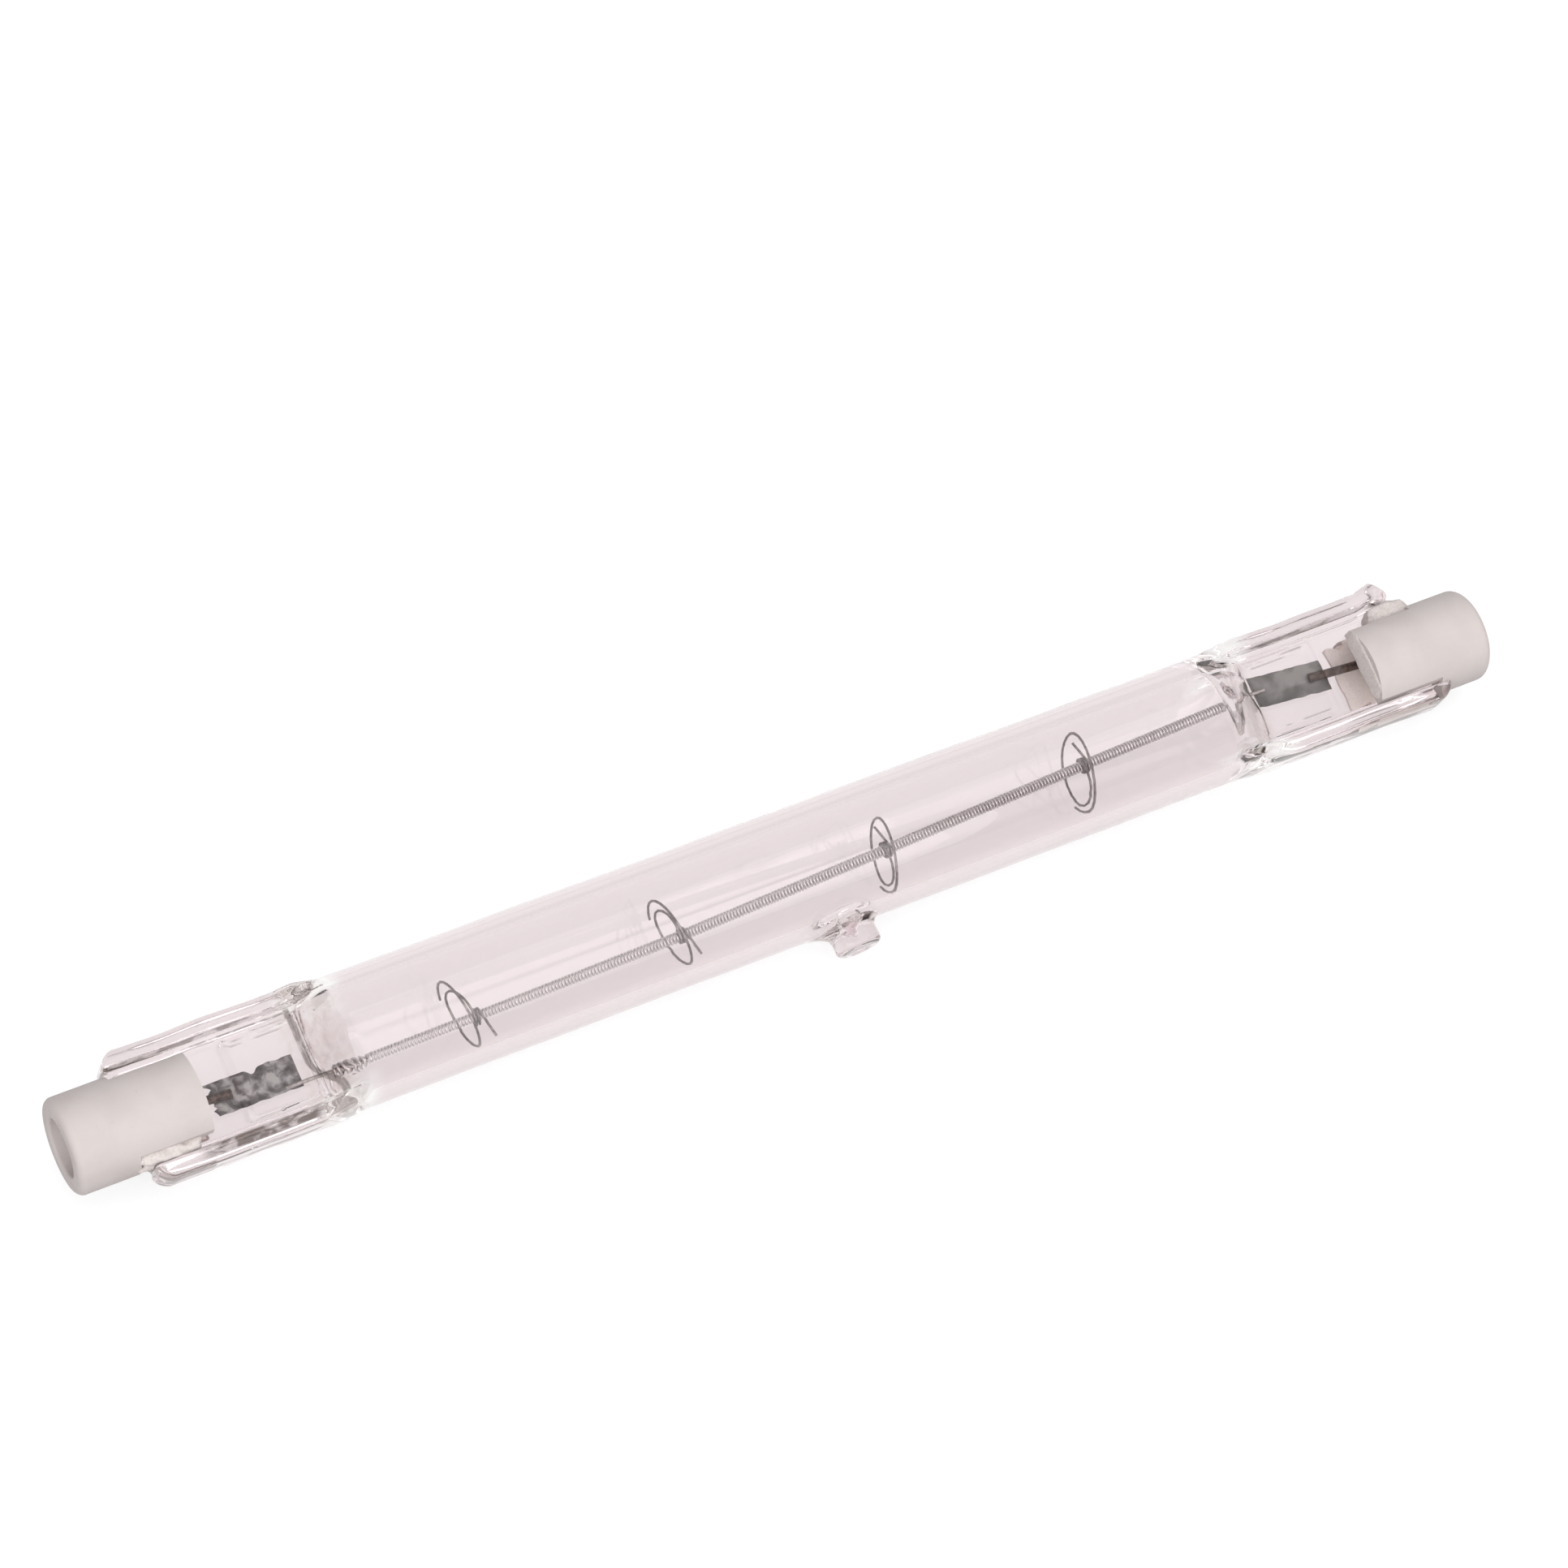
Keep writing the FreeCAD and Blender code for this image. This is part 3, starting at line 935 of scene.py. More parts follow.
    def section(self, x: float, inset: float = 0.0) -> Outline:
        """Whole outline of the pinch's section, mirrored from its first quarter.

        Args:
            x: Distance from the middle of the bulb.
            inset: How far the outline is drawn in.

        Returns:
            Points as pairs of Y and Z.
        """
        quarter = self.quarter(x, inset)
        last = len(quarter) - 1
        outline = quarter[:last]
        outline += [(-y, z) for y, z in quarter[last:0:-1]]
        outline += [(-y, -z) for y, z in quarter[:last]]
        outline += [(y, -z) for y, z in quarter[last:0:-1]]
        return outline

    def angles(self) -> list[float]:
        """Angles round the tube that the points of the pinch's outline come from, by length along it.

        Returns:
            Angles in radians, one for each point of the outline.
        """
        quarter = self.quarter(self.pad_end, 0.0)
        lengths = [math.dist(first, second) for first, second in zip(quarter, quarter[1:])]
        whole = sum(lengths)
        shares = [sum(lengths[:count]) / whole for count in range(len(lengths))]
        turns = []
        for corner in range(4):
            if corner % 2 == 0:
                turns += [(corner + share) * math.pi / 2 for share in shares]
            else:
                turns += [(corner + 1 - share) * math.pi / 2 for share in [1.0] + shares[:0:-1]]
        return turns

    def shoulder_rows(self, end: PinchEnd) -> list[Span]:
        """Rows from the round tube to a pinch.

        Args:
            end: The pinch to build.

        Returns:
            For each row its distance from the middle and its share of the pinch's form.
        """
        count = 16
        shares = [number / count for number in range(count + 1)]
        return [(end.shoulder_x + end.shoulder_run * share, smooth(share)) for share in shares]

    def shoulder_shift(self, end: PinchEnd, y: float, share: float) -> float:
        """How far the shoulder bows outwards at a place across it, with a dip where the inner lead passes.

        Args:
            end: The pinch to build.
            y: Place across the shoulder.
            share: Share of the pinch's form, from 0 at the tube to 1 at the pinch.

        Returns:
            The shift along the bulb in millimetres.
        """
        bow = self.shoulder_bulge * (1 - (y / self.pinch_half) ** 2)
        return (bow - self.lead_dip(end, y)) * 4 * share * (1 - share)

    def lead_dip(self, end: PinchEnd, y: float) -> float:
        """Depth of the dip that the inner lead leaves at a place across the shoulder."""
        return self.shoulder_dip * math.exp(-((y - end.lead_y) / self.dip_width) ** 2)

    def rail_end(self, end: PinchEnd, y: float) -> float:
        """Distance from the middle at which the pinch ends, which differs for the web and each rail.

        Args:
            end: The pinch to build.
            y: Place across the pinch.

        Returns:
            The distance in millimetres.
        """
        lug = end.upper if y > 0 else end.lower
        across = (abs(y) - self.channel_half) / (self.pinch_half - self.channel_half)
        if across < 0:
            return mix(self.web_end, lug.reach, smooth(1 + across / self.lug_rise))
        return lug.reach - self.lug_slope * across * across

    def melted(self, end: PinchEnd, x: float, y: float, z: float) -> Span:
        """Moves a point of a rail as the melted glass flowed: in soft waves, and out at a bead.

        Args:
            end: The pinch to build.
            x: Distance of the point from the middle of the bulb.
            y: Its place across the pinch.
            z: Its height over the pinch's middle plane.

        Returns:
            Its new Y and Z.
        """
        if abs(y) < self.channel_half - self.web_fillet:
            return y, z
        way = math.copysign(1.0, y)
        lug = end.upper if y > 0 else end.lower
        settle = smooth((x - self.settle_x) / self.settle_run)
        seed, face = end.ripple_seed, math.copysign(4, z)
        wave = noise.noise(Vector((x * self.wave_rate, way * 3, seed))) * self.wave_depth
        swell = noise.noise(Vector((x * self.swell_rate, way * 7 + seed, face))) * self.swell_depth
        bead = lug.bead * math.exp(-((x - lug.reach + self.bead_back) / self.bead_run) ** 2)
        return y + way * (wave * settle + bead), z * (1 + swell * settle)

    def pinch_rows(self, end: PinchEnd) -> list[list[Vector]]:
        """Rows of points of one pinch, from its shoulder out to its folded end.

        Args:
            end: The pinch to build.

        Returns:
            Rows of places in millimetres, the last folded on the middle plane.
        """
        angles = self.angles()
        sign = end.side.value
        rows = []
        for x, share in self.shoulder_rows(end):
            row = []
            for angle, (y, z) in zip(angles, self.section(x)):
                y, z = self.melted(end, x, y, z)
                round_y, round_z = self.tube_radius * math.cos(angle), self.tube_radius * math.sin(angle)
                shifted = x + self.shoulder_shift(end, y, share)
                row.append(Vector((sign * shifted, mix(round_y, y, share), mix(round_z, z, share))))
            rows.append(row)
        start = end.shoulder_x + end.shoulder_run
        count = round((self.straight_end - start) / self.row_step)
        straight = [start + self.row_step * number for number in range(1, count)]
        straight = sorted(straight + [self.pad_end - self.pad_fade, self.pad_end + self.pad_fade])
        for x in straight:
            rows.append([Vector((sign * x, *self.melted(end, x, y, z))) for y, z in self.section(x)])
        corner = (self.end_rounding, self.end_rounding)
        for inset, back in arc(corner, self.end_rounding, 180, 90, 4):
            rows.append(self.end_row(end, inset, back))
        last = rows[-1]
        mirrored = [last[-number] for number in range(len(last))]
        middles = [(point + other) / 2 for point, other in zip(last, mirrored)]
        rows.append([Vector((middle.x, middle.y, 0.0)) for middle in middles])
        return rows

    def end_row(self, end: PinchEnd, inset: float, back: float) -> list[Vector]:
        """One row of a pinch's rounded end, clear of the cap's round body.

        Args:
            end: The pinch to build.
            inset: How far the outline is drawn in.
            back: How far the row stands back from the very end.

        Returns:
            Places in millimetres.
        """
        row = []
        for y, z in self.section(self.web_end, inset):
            x = self.rail_end(end, y) - back
            y, z = self.melted(end, x, y, z)
            if abs(y) > self.channel_half and x > self.web_end:
                room = math.sqrt(max(self.cap_room ** 2 - z * z, 0.0))
                way = math.copysign(1.0, y)
                y = way * max(way * y, room + way * end.cap_shift)
            row.append(Vector((end.side.value * x, y, z)))
        return row

    def tube_rows(self) -> list[list[Vector]]:
        """Rows of points of the round tube between the shoulders, closer together near the tip.

        Returns:
            Rows of places in millimetres.
        """
        rows = []
        start, stop = self.tube_margin - self.left.shoulder_x, self.right.shoulder_x - self.tube_margin
        count = 60
        coarse = [mix(start, stop, number / count) for number in range(count + 1)]
        places = [x for x in coarse if abs(x - self.tip_x) > self.tip_zone]
        zone = (self.tip_x - self.tip_zone, self.tip_x + self.tip_zone)
        fine = round(2 * self.tip_zone / self.tip_step)
        places += [mix(*zone, number / fine) for number in range(fine + 1)]
        for x in sorted(places):
            wobble = 2 * noise.noise(Vector((x * self.wobble_rate, 0.0, 5.0))) - 1
            radius = min(self.tube_radius + self.tube_wobble * wobble, self.tube_radius)
            rows.append([Vector((x, radius * math.cos(a), radius * math.sin(a))) for a in self.angles()])
        return rows

    def outer_skin(self) -> bpy.types.Object:
        """Outside of the glass, from the end of one pinch to the end of the other."""
        rows = self.pinch_rows(self.left)[::-1] + self.tube_rows() + self.pinch_rows(self.right)
        return skin_rows("quartz_envelope_glass", rows)

    def cavity_rows(self, end: PinchEnd) -> list[list[Vector]]:
        """Rows of one end of the hollow, which the pinch squeezes to a bowed line across the tube.

        Args:
            end: The pinch that closes it.

        Returns:
            Rows of places in millimetres.
        """
        count = 18
        rows = []
        for number in range(count + 1):
            share = number / count
            wide = self.bore_radius * (1 - self.cavity_narrowing * share * share)
            tall = self.bore_radius * (1 - mix(smooth(share), share ** self.squeeze_power, end.squeeze))
            row = []
            for angle in self.angles():
                y, z = wide * math.cos(angle), tall * math.sin(angle)
                bow = self.cavity_bow * (y / self.bore_radius) ** 2
                close = self.cavity_end - bow - self.lead_dip(end, y)
                row.append(Vector((end.side.value * mix(end.cavity_x, close, share), y, z)))
            rows.append(row)
        return rows

    def cavity_skin(self) -> bpy.types.Object:
        """Wall of the hollow that holds the filament."""
        rows = self.cavity_rows(self.left)[::-1] + self.cavity_rows(self.right)
        return skin_rows("quartz_cavity", rows)

    def tip_skin(self) -> bpy.types.Object:
        """Melted-off stub of the exhaust tube, with a flared root sunk a little in the tube's wall.

        Returns:
            The stub, in millimetres.
        """
        rim = self.tip_reach - self.tip_rim
        root = [(1.0, -self.tip_sunk)]
        root += [(out, depth) for depth, out in arc((1.0, 1.0), 1.0, 180, 90, 8)[1:]]
        shank = [(self.tip_radius, mix(self.tip_shank, rim, share / 2)) for share in range(3)]
        shank += arc((self.tip_radius - self.tip_rim, rim), self.tip_rim, 0, 90, 4)[1:]
        shank += [(radius, self.tip_reach - depth) for radius, depth in self.tip_dimple]
        steps = [(0.0, self.tip_foot, False)]
        steps += [(out, depth, True) for out, depth in root]
        steps += [(radius, depth, False) for radius, depth in shank]
        around = 64

        def place(row: int, step: int) -> Vector:
            """Point of the stub.

            Args:
                row: Its row, from the foot in the wall to the sealed end.
                step: Its step round the row.

            Returns:
                The place in millimetres.
            """
            radius, depth, on_wall = steps[row]
            angle = 2 * math.pi * step / around
            if on_wall:
                pulled = (1 - math.cos(angle)) / 2
                radius = self.tip_radius + radius * mix(*self.tip_flare, pulled ** 2)
                depth = depth * mix(*self.tip_root, pulled) - self.tip_lowered
            rate, down_rate = self.tip_lump_rates
            lump = noise.noise(Vector((math.cos(angle) * rate, math.sin(angle) * rate, depth * down_rate)))
            grown = radius * (1 + self.tip_unevenness * min(lump, self.tip_lump_limit))
            aside, across = grown * math.cos(angle), grown * math.sin(angle)
            down = depth
            if on_wall:
                down += math.sqrt(self.tube_radius ** 2 - across ** 2)
            return Vector((self.tip_x + aside, -down, across))

        return wrapped_skin("quartz_tip", len(steps), around, place)

    def tip_hollow(self) -> bpy.types.Object:
        """Narrow hollow that runs from the tube's bore into the tip and closes there.

        Returns:
            The hollow, in millimetres.
        """
        count = 16
        taper = (self.tip_bore_taper, self.tip_reach - self.tip_bore_stop)
        steps = [(0.0, self.tip_bore_start), (self.tip_bore, self.tip_bore_start)]
        for share in (number / count for number in range(count + 1)):
            steps.append((self.tip_bore * (1 - share) ** self.tip_bore_power, mix(*taper, share)))
        around = 32

        def place(row: int, step: int) -> Vector:
            """Point of the hollow.

            Args:
                row: Its row, from the bore to the closed end.
                step: Its step round the row.

            Returns:
                The place in millimetres.
            """
            radius, down = steps[row]
            angle = 2 * math.pi * step / around
            sway = self.tip_bore_sway * noise.noise(Vector((down * self.tip_sway_rate, 2.0, 6.0)))
            sway *= smooth(down - self.tip_sway_start)
            rate, down_rate = self.tip_bore_rates
            lump = noise.noise(Vector((rate * math.cos(angle), rate * math.sin(angle), down * down_rate)))
            radius *= 1 + self.tip_bore_unevenness * lump * smooth((down - self.tip_bore_taper) * 2)
            return Vector((self.tip_x + sway + radius * math.cos(angle), -down, radius * math.sin(angle)))

        return wrapped_skin("quartz_tip_hollow", len(steps), around, place)

    def build(self, glass: bpy.types.Material) -> bpy.types.Object:
        """Builds the whole envelope and puts it in place of the frame's plain one.

        Args:
            glass: Material of the glass.

        Returns:
            The envelope.
        """
        outer = self.outer_skin()
        unite(outer, self.tip_skin())
        tidy_mesh(outer)
        hollow = self.cavity_skin()
        unite(hollow, self.tip_hollow())
        tidy_mesh(hollow, inside_out=True)
        clear_selection()
        hollow.select_set(True)
        outer.select_set(True)
        bpy.context.view_layer.objects.active = outer
        bpy.ops.object.join()
        shade(outer, degrees=50)
        REST.lay(outer)
        dress(outer, glass)
        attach(outer, BODY)
        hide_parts("quartz_envelope")
        return outer


@dataclass
class CoiledFilament:
    """Tungsten wire wound in one long helix, whose middle line bends a little at each support."""

    wire: float = 0.17
    coil_diameter: float = 0.87
    pitch: float = 0.27
    steps: int = 12
    sides: int = 6
    height: float = 0.13
    line: tuple[Span, ...] = (
        (-38.1, -1.7), (-27.44, -1.58), (-10.66, -1.30), (6.82, -0.62), (24.38, 0.13), (38.1, 0.65))

    def line_y(self, x: float) -> float:
        """Place of the coil's middle line across the pinch plane.

        Args:
            x: Distance along the bulb.

        Returns:
            The place in millimetres.
        """
        for (start_x, start_y), (stop_x, stop_y) in zip(self.line, self.line[1:]):
            if x <= stop_x:
                return mix(start_y, stop_y, (x - start_x) / (stop_x - start_x))
        return self.line[-1][1]

    def build(self, metal: bpy.types.Material) -> bpy.types.Object:
        """Winds the coil with a screw along X and lays it along its line.

        Args:
            metal: Material of the wire.

        Returns:
            The coil.
        """
        clear_selection()
        start, stop = self.line[0][0], self.line[-1][0]
        middle = (self.coil_diameter - self.wire) / 2
        bpy.ops.mesh.primitive_circle_add(vertices=self.sides, radius=self.wire / 2,
                                          location=(start, 0.0, middle), rotation=(math.pi / 2, 0.0, 0.0))
        coil = bpy.context.object
        coil.name = "filament_coil"
        coil.data.name = "filament_coil"
        bpy.ops.object.transform_apply(location=True, rotation=True, scale=True)
        screw = coil.modifiers.new("winding", "SCREW")
        screw.axis = "X"
        screw.angle = 2 * math.pi
        screw.screw_offset = self.pitch
        screw.iterations = round((stop - start) / self.pitch)
        screw.steps = self.steps
        screw.render_steps = self.steps
        bpy.ops.object.modifier_apply(modifier=screw.name)
        bpy.ops.object.mode_set(mode="EDIT")
        bpy.ops.mesh.select_all(action="SELECT")
        bpy.ops.mesh.fill_holes(sides=self.sides)
        bpy.ops.mesh.normals_make_consistent(inside=False)
        bpy.ops.object.mode_set(mode="OBJECT")
        for vertex in coil.data.vertices:
            vertex.co.y += self.line_y(vertex.co.x)
            vertex.co.z += self.height
        shade(coil, degrees=80)
        REST.lay(coil)
        dress(coil, metal)
        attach(coil, BODY)
        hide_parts("filament")
        return coil


@dataclass
class SealingFoil:
    """Thin metal strip in a pinch, slightly crumpled, with etched edges and ends that tore a little."""

    side: Side
    start: float
    inner_y: float
    outer_y: float
    notch: float = 0.0
    tear: float = 0.15
    seed: float = 1.0
    length: float = 6.6
    width: float = 2.5
    thickness: float = 0.04
    crumple: float = 0.03
    crumple_rates: Span = (5.0, 1.5)
    tear_rate: float = 4.5
    edge_wave: float = 0.07
    edge_rate: float = 9.0
    notch_place: float = 0.47
    notch_run: float = 0.05

    def place(self, along: float, across: float) -> Vector:
        """Point of the strip.

        Args:
            along: Share of the strip's length, from 0 at the filament's end to 1.
            across: Share of half its width, from -1 to 1.

        Returns:
            The place in millimetres.
        """
        ragged = noise.noise(Vector((across * self.tear_rate, self.seed, 0.5))) * self.tear
        x = self.start + self.length * along + ragged * along ** 8
        edge_spot = Vector((along * self.edge_rate, self.seed + 4, math.copysign(2, across)))
        edge = noise.noise(edge_spot) * self.edge_wave
        y = (self.width / 2 + edge * abs(across) ** 3) * across
        if across > 0:
            y -= self.notch * across ** 4 * math.exp(-((along - self.notch_place) / self.notch_run) ** 2)
        along_rate, across_rate = self.crumple_rates
        z = noise.noise(Vector((along * along_rate, across * across_rate, self.seed + 9))) * self.crumple
        return Vector((self.side.value * x, y + mix(self.inner_y, self.outer_y, along), z))

    def build(self, metal: bpy.types.Material) -> bpy.types.Object:
        """Shapes the strip from a flat grid and gives it its thickness.

        Args:
            metal: Material of the strip.

        Returns:
            The strip.
        """
        clear_selection()
        name = "foil_" + self.side.name.lower()
        bpy.ops.mesh.primitive_grid_add(x_subdivisions=48, y_subdivisions=16, size=2)
        strip = bpy.context.object
        strip.name = name + "_strip"
        strip.data.name = name + "_strip"
        for vertex in strip.data.vertices:
            vertex.co = self.place((vertex.co.x + 1) / 2, vertex.co.y)
        wall = strip.modifiers.new("thickness", "SOLIDIFY")
        wall.thickness = self.thickness
        wall.offset = 0.0
        bpy.ops.object.modifier_apply(modifier=wall.name)
        tidy_mesh(strip)
        shade(strip, degrees=40)
        REST.lay(strip)
        dress(strip, metal)
        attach(strip, BODY)
        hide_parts(name)
        return strip


@dataclass(frozen=True)
class Lump:
    """A rounded block of cement: its middle and half sizes in millimetres, how boxy it is and how uneven."""

    middle: Place
    half: Place
    boxy: float
    uneven: float
    waves: float = 1.4

    def build(self, name: str) -> bpy.types.Object:
        """Shapes the lump from a ball that is pressed towards a block.

        Args:
            name: Name of the new piece.

        Returns:
            The lump, in millimetres.
        """
        clear_selection()
        bpy.ops.mesh.primitive_uv_sphere_add(segments=48, ring_count=32, radius=1.0)
        lump = bpy.context.object
        lump.name = name
        lump.data.name = name
        middle, half = Vector(self.middle), Vector(self.half)
        for vertex in lump.data.vertices:
            ball = vertex.co.normalized()
            pressed = ball * mix(1.0, 1.0 / max(abs(part) for part in ball), self.boxy)
            wave = 1 + self.uneven * noise.noise((pressed * half + middle) * self.waves)
            vertex.co = middle + pressed * half * wave
        return lump


@dataclass
class CementFill:
    """Cement of one cap: the layers in its slot on both faces of the pinch, and what ran out of it."""

    side: Side
    cap_shift: float
    under_glass: tuple[Lump, ...] = ()
    in_the_open: tuple[Lump, ...] = ()
    slot_start: float = 48.8
    slot_end: float = 54.15
    slot_half: float = 1.1
    web_half: float = WEB_HALF
    sunk: float = 0.05
    width_half: float = 2.94
    layer_boxy: float = 0.97

    def layers(self) -> list[Lump]:
        """The two thin layers that fill the slot, each sunk a little in the glass.

        Returns:
            The lower layer and the upper one.
        """
        inner = self.web_half - self.sunk
        middle = (self.slot_start + self.slot_end) / 2
        half = ((self.slot_end - self.slot_start) / 2, self.width_half, (self.slot_half - inner) / 2)
        height = (self.slot_half + inner) / 2
        x = self.side.value * middle
        return [Lump((x, self.cap_shift, z), half, self.layer_boxy, uneven=0.0) for z in (-height, height)]

    def build(self, shade_lifted: bpy.types.Material, in_open: bpy.types.Material) -> bpy.types.Object:
        """Shapes the cement and puts it in place of the frame's plain one.

        Args:
            shade_lifted: Material of the cement against the glass, painted far paler to offset the shade it
                lies in.
            in_open: Material of the cement in the open.

        Returns:
            The cement.
        """
        name = "cement_" + self.side.name.lower()
        lumps = []
        for lump in (*self.layers(), *self.under_glass):
            lumps.append(lump.build(name + "_fill"))
            dress(lumps[-1], shade_lifted)
        for lump in self.in_the_open:
            lumps.append(lump.build(name + "_fill"))
            dress(lumps[-1], in_open)
        clear_selection()
        for lump in lumps:
            lump.select_set(True)
        fill = lumps[0]
        bpy.context.view_layer.objects.active = fill
        bpy.ops.object.join()
        tidy_mesh(fill)
        shade(fill, degrees=60)
        REST.lay(fill)
        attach(fill, BODY)
        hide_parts(name)
        return fill


@dataclass
class FrameFinishes:
    """Finishes of the frame's own pieces, which keep their shape."""

    supports: tuple[str, ...] = tuple(f"filament_support_{number}" for number in range(1, 5))

    def dress(self) -> list[str]:
        """Gives every piece that keeps its shape its finish.

        Returns:
            Names of the pieces.
        """
        ceramic = UnglazedCeramic().material()
        support = SUPPORT_WIRE.material()
        pin = INNER_LEAD.material()
        lead = OUTER_LEAD.material()
        nickel = CONTACT_NICKEL.material()
        worn: dict[str, bpy.types.Material] = {name: support for name in self.supports}
        for side in Side:
            end = side.name.lower()
            worn["cap_" + end] = ceramic
            worn["contact_" + end] = nickel
            worn["inner_lead_" + end] = pin
            worn["outer_lead_" + end] = lead
        for name, material in worn.items():
            dress_node(name, material)
        return sorted(worn)


@dataclass(frozen=True)
class SoftLamp:
    """A soft lamp: where it hangs, its length and width in metres, and its power in watts."""

    name: str
    place: Place
    size: Span
    power: float


@dataclass
class Studio:
    """Floor, soft light and the camera at the photograph's viewing angle."""

    azimuth: float = -28.47
    elevation: float = 43.40
    distance: float = 378.16 * MM
    focal_pixels: float = 6303.0
    middle_pixel: Span = (984.6, 1076.2)
    sensor: float = 36.0
    floor_size: float = 6.0
    sky_light: float = 0.62
    glass_bounces: int = 128
    lamps: tuple[SoftLamp, ...] = (
        SoftLamp("broad_lamp", (0.21, -0.17, 0.53), (0.70, 0.42), power=0.9),
        SoftLamp("fill_lamp", (-0.28, -0.60, 0.27), (1.50, 0.70), power=6.0),
    )

    def axes(self) -> tuple[Vector, Vector, Vector]:
        """Directions of the camera.

        Returns:
            Its right, up and back directions.
        """
        turn, rise = math.radians(self.azimuth), math.radians(self.elevation)
        back = Vector((math.sin(turn) * math.cos(rise), -math.cos(turn) * math.cos(rise), math.sin(rise)))
        right = Vector((math.cos(turn), math.sin(turn), 0.0))
        return right, back.cross(right), back

    def camera(self) -> None:
        """Makes the camera, shifted so that the bulb's middle lands where the photograph has it."""
        right, up, back = self.axes()
        lens = bpy.data.cameras.new("camera")
        lens.sensor_fit = "HORIZONTAL"
        lens.sensor_width = self.sensor
        lens.lens = self.focal_pixels / PHOTO_PIXELS * self.sensor
        lens.shift_x = 0.5 - self.middle_pixel[0] / PHOTO_PIXELS
        lens.shift_y = self.middle_pixel[1] / PHOTO_PIXELS - 0.5
        lens.clip_start = 0.01
        stand = bpy.data.objects.new("camera", lens)
        bpy.context.scene.collection.objects.link(stand)
        turn = Matrix((right, up, back)).transposed().to_4x4()
        stand.matrix_world = Matrix.Translation(back * self.distance) @ turn
        bpy.context.scene.camera = stand

    def floor(self) -> None:
        """Makes the floor that the bulb lies on."""
        clear_selection()
        bpy.ops.mesh.primitive_grid_add(x_subdivisions=8, y_subdivisions=8, size=self.floor_size,
                                        location=(0.0, 0.0, REST.floor_height))
        floor = bpy.context.object
        floor.name = "studio_floor"
        bpy.ops.object.transform_apply(location=True, rotation=True, scale=True)
        dress(floor, PaleFloor().material())

    def sky(self) -> None:
        """Makes an even sky: soft light on the bulb, and white where it is seen."""
        world = bpy.data.worlds.new("studio_sky")
        bpy.context.scene.world = world
        world.use_nodes = True
        tree = world.node_tree
        backdrop = tree.nodes["Background"]
        backdrop.inputs["Color"].default_value = (1.0, 1.0, 1.0, 1.0)
        rays = tree.nodes.new("ShaderNodeLightPath")
        seen = tree.nodes.new("ShaderNodeMath")
        seen.operation = "MAXIMUM"
        tree.links.new(rays.outputs["Is Camera Ray"], seen.inputs[0])
        tree.links.new(rays.outputs["Is Transmission Ray"], seen.inputs[1])
        strength = tree.nodes.new("ShaderNodeMapRange")
        strength.inputs["To Min"].default_value = self.sky_light
        tree.links.new(seen.outputs["Value"], strength.inputs["Value"])
        tree.links.new(strength.outputs["Result"], backdrop.inputs["Strength"])

    def hang(self, lamp: SoftLamp) -> None:
        """Adds a soft lamp that faces the bulb, its length along the bulb.

        Args:
            lamp: The lamp to hang.
        """
        light = bpy.data.lights.new(lamp.name, "AREA")
        light.shape = "RECTANGLE"
        light.size, light.size_y = lamp.size
        light.energy = lamp.power
        stand = bpy.data.objects.new(lamp.name, light)
        bpy.context.scene.collection.objects.link(stand)
        place = Vector(lamp.place)
        back = place.normalized()
        across = back.cross(Vector((1.0, 0.0, 0.0))).normalized()
        turn = Matrix((across.cross(back), across, back)).transposed().to_4x4()
        stand.matrix_world = Matrix.Translation(place) @ turn

    def build(self) -> None:
        """Sets up the whole studio."""
        bpy.context.scene.view_settings.view_transform = "Standard"
        self.floor()
        self.sky()
        for lamp in self.lamps:
            self.hang(lamp)
        self.light_paths()
        self.camera()

    def light_paths(self) -> None:
        """Lets light go on through many faces of glass, which would otherwise turn black at thick corners."""
        paths = bpy.context.scene.cycles
        paths.max_bounces = self.glass_bounces
        paths.glossy_bounces = self.glass_bounces
        paths.transmission_bounces = self.glass_bounces


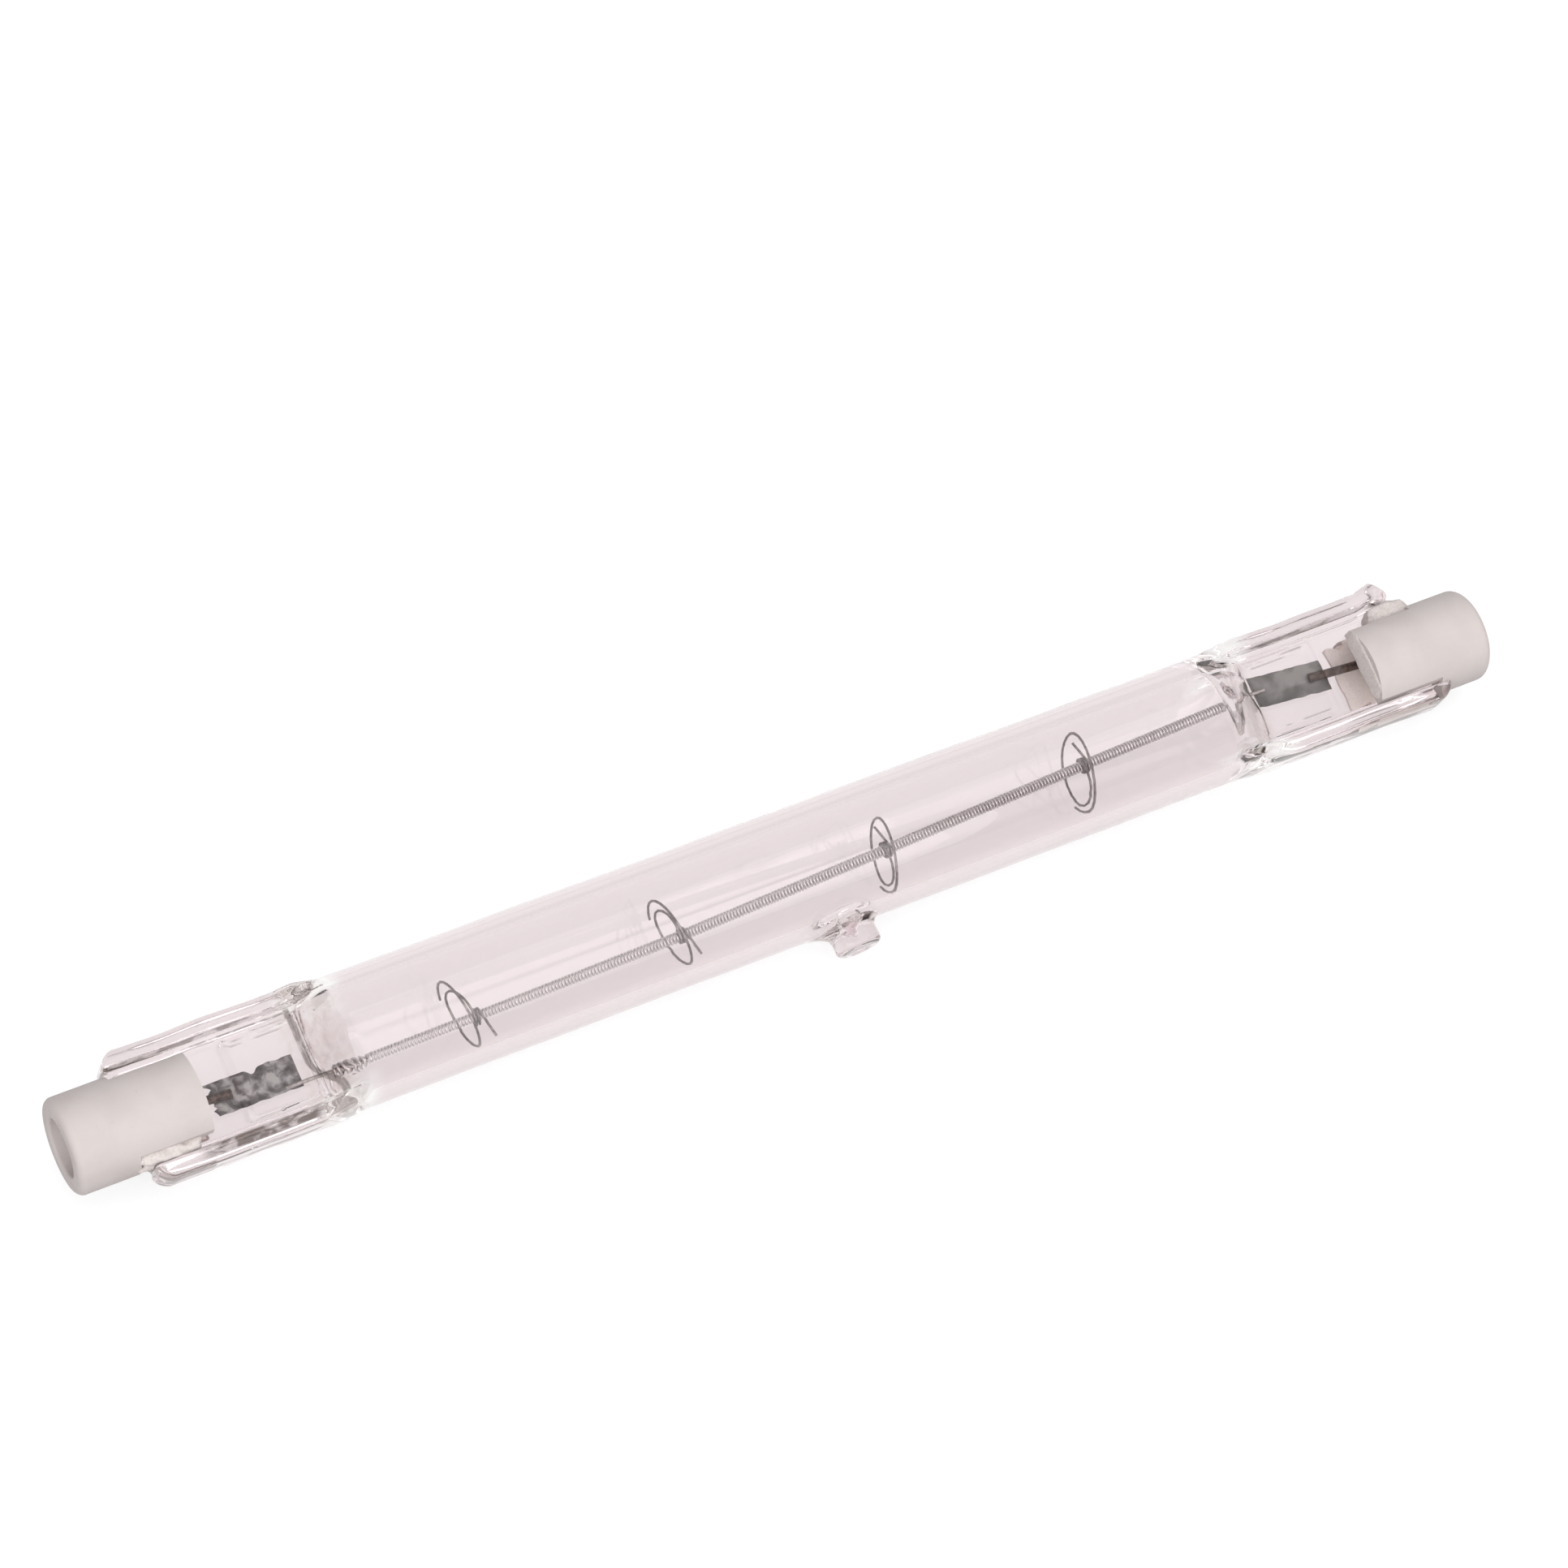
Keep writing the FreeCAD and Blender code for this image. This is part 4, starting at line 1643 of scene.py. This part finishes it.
def main() -> None:
    """Builds and dresses the bulb, piece by piece, then the studio round it."""
    logging.basicConfig(level=logging.INFO, format="%(message)s")
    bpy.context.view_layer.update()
    envelope = QuartzEnvelope().build(QuartzGlass().material())
    LOG.info("%s: %d faces", envelope.name, len(envelope.data.polygons))
    coil = CoiledFilament().build(TUNGSTEN.material())
    LOG.info("%s: %d faces", coil.name, len(coil.data.polygons))
    left_foil = SealingFoil(
        Side.LEFT, start=41.0, inner_y=-0.72, outer_y=-0.66, notch=0.45, tear=0.5, seed=2.0)
    right_foil = SealingFoil(Side.RIGHT, start=39.4, inner_y=0.72, outer_y=0.12, seed=6.0)
    for foil, metal in ((left_foil, LEFT_FOIL_METAL), (right_foil, RIGHT_FOIL_METAL)):
        strip = foil.build(metal.material())
        LOG.info("%s: %d faces", strip.name, len(strip.data.polygons))
    shade_lifted = SHADE_LIFTED_CEMENT.material()
    in_open = OPEN_CEMENT.material()
    squeezed = Lump((-52.0, -3.25, 0.7), half=(2.6, 0.6, 1.15), boxy=0.35, uneven=0.3)
    run_out = Lump((48.3, -0.7, -1.02), half=(1.3, 2.75, 0.17), boxy=0.7, uneven=0.16)
    ear = Lump((52.9, 2.8, 0.2), half=(2.05, 1.1, 1.35), boxy=0.15, uneven=0.12)
    left_shift, right_shift = QuartzEnvelope.left.cap_shift, QuartzEnvelope.right.cap_shift
    # A thin smear of cement on the right cap's inner end face, paler than the ceramic, which also lightens
    # that shaded face: partly painted light.
    lightening_smear = Lump((48.6, right_shift, 2.0), half=(0.13, 2.7, 1.1), boxy=0.4, uneven=0.12)
    left_cement = CementFill(Side.LEFT, left_shift, in_the_open=(squeezed,))
    right_cement = CementFill(Side.RIGHT, right_shift, under_glass=(run_out,), in_the_open=(ear, lightening_smear))
    for cement in (left_cement, right_cement):
        fill = cement.build(shade_lifted, in_open)
        LOG.info("%s: %d faces", fill.name, len(fill.data.polygons))
    LOG.info("dressed: %s", ", ".join(FrameFinishes().dress()))
    Studio().build()


if __name__ == "__main__":
    main()
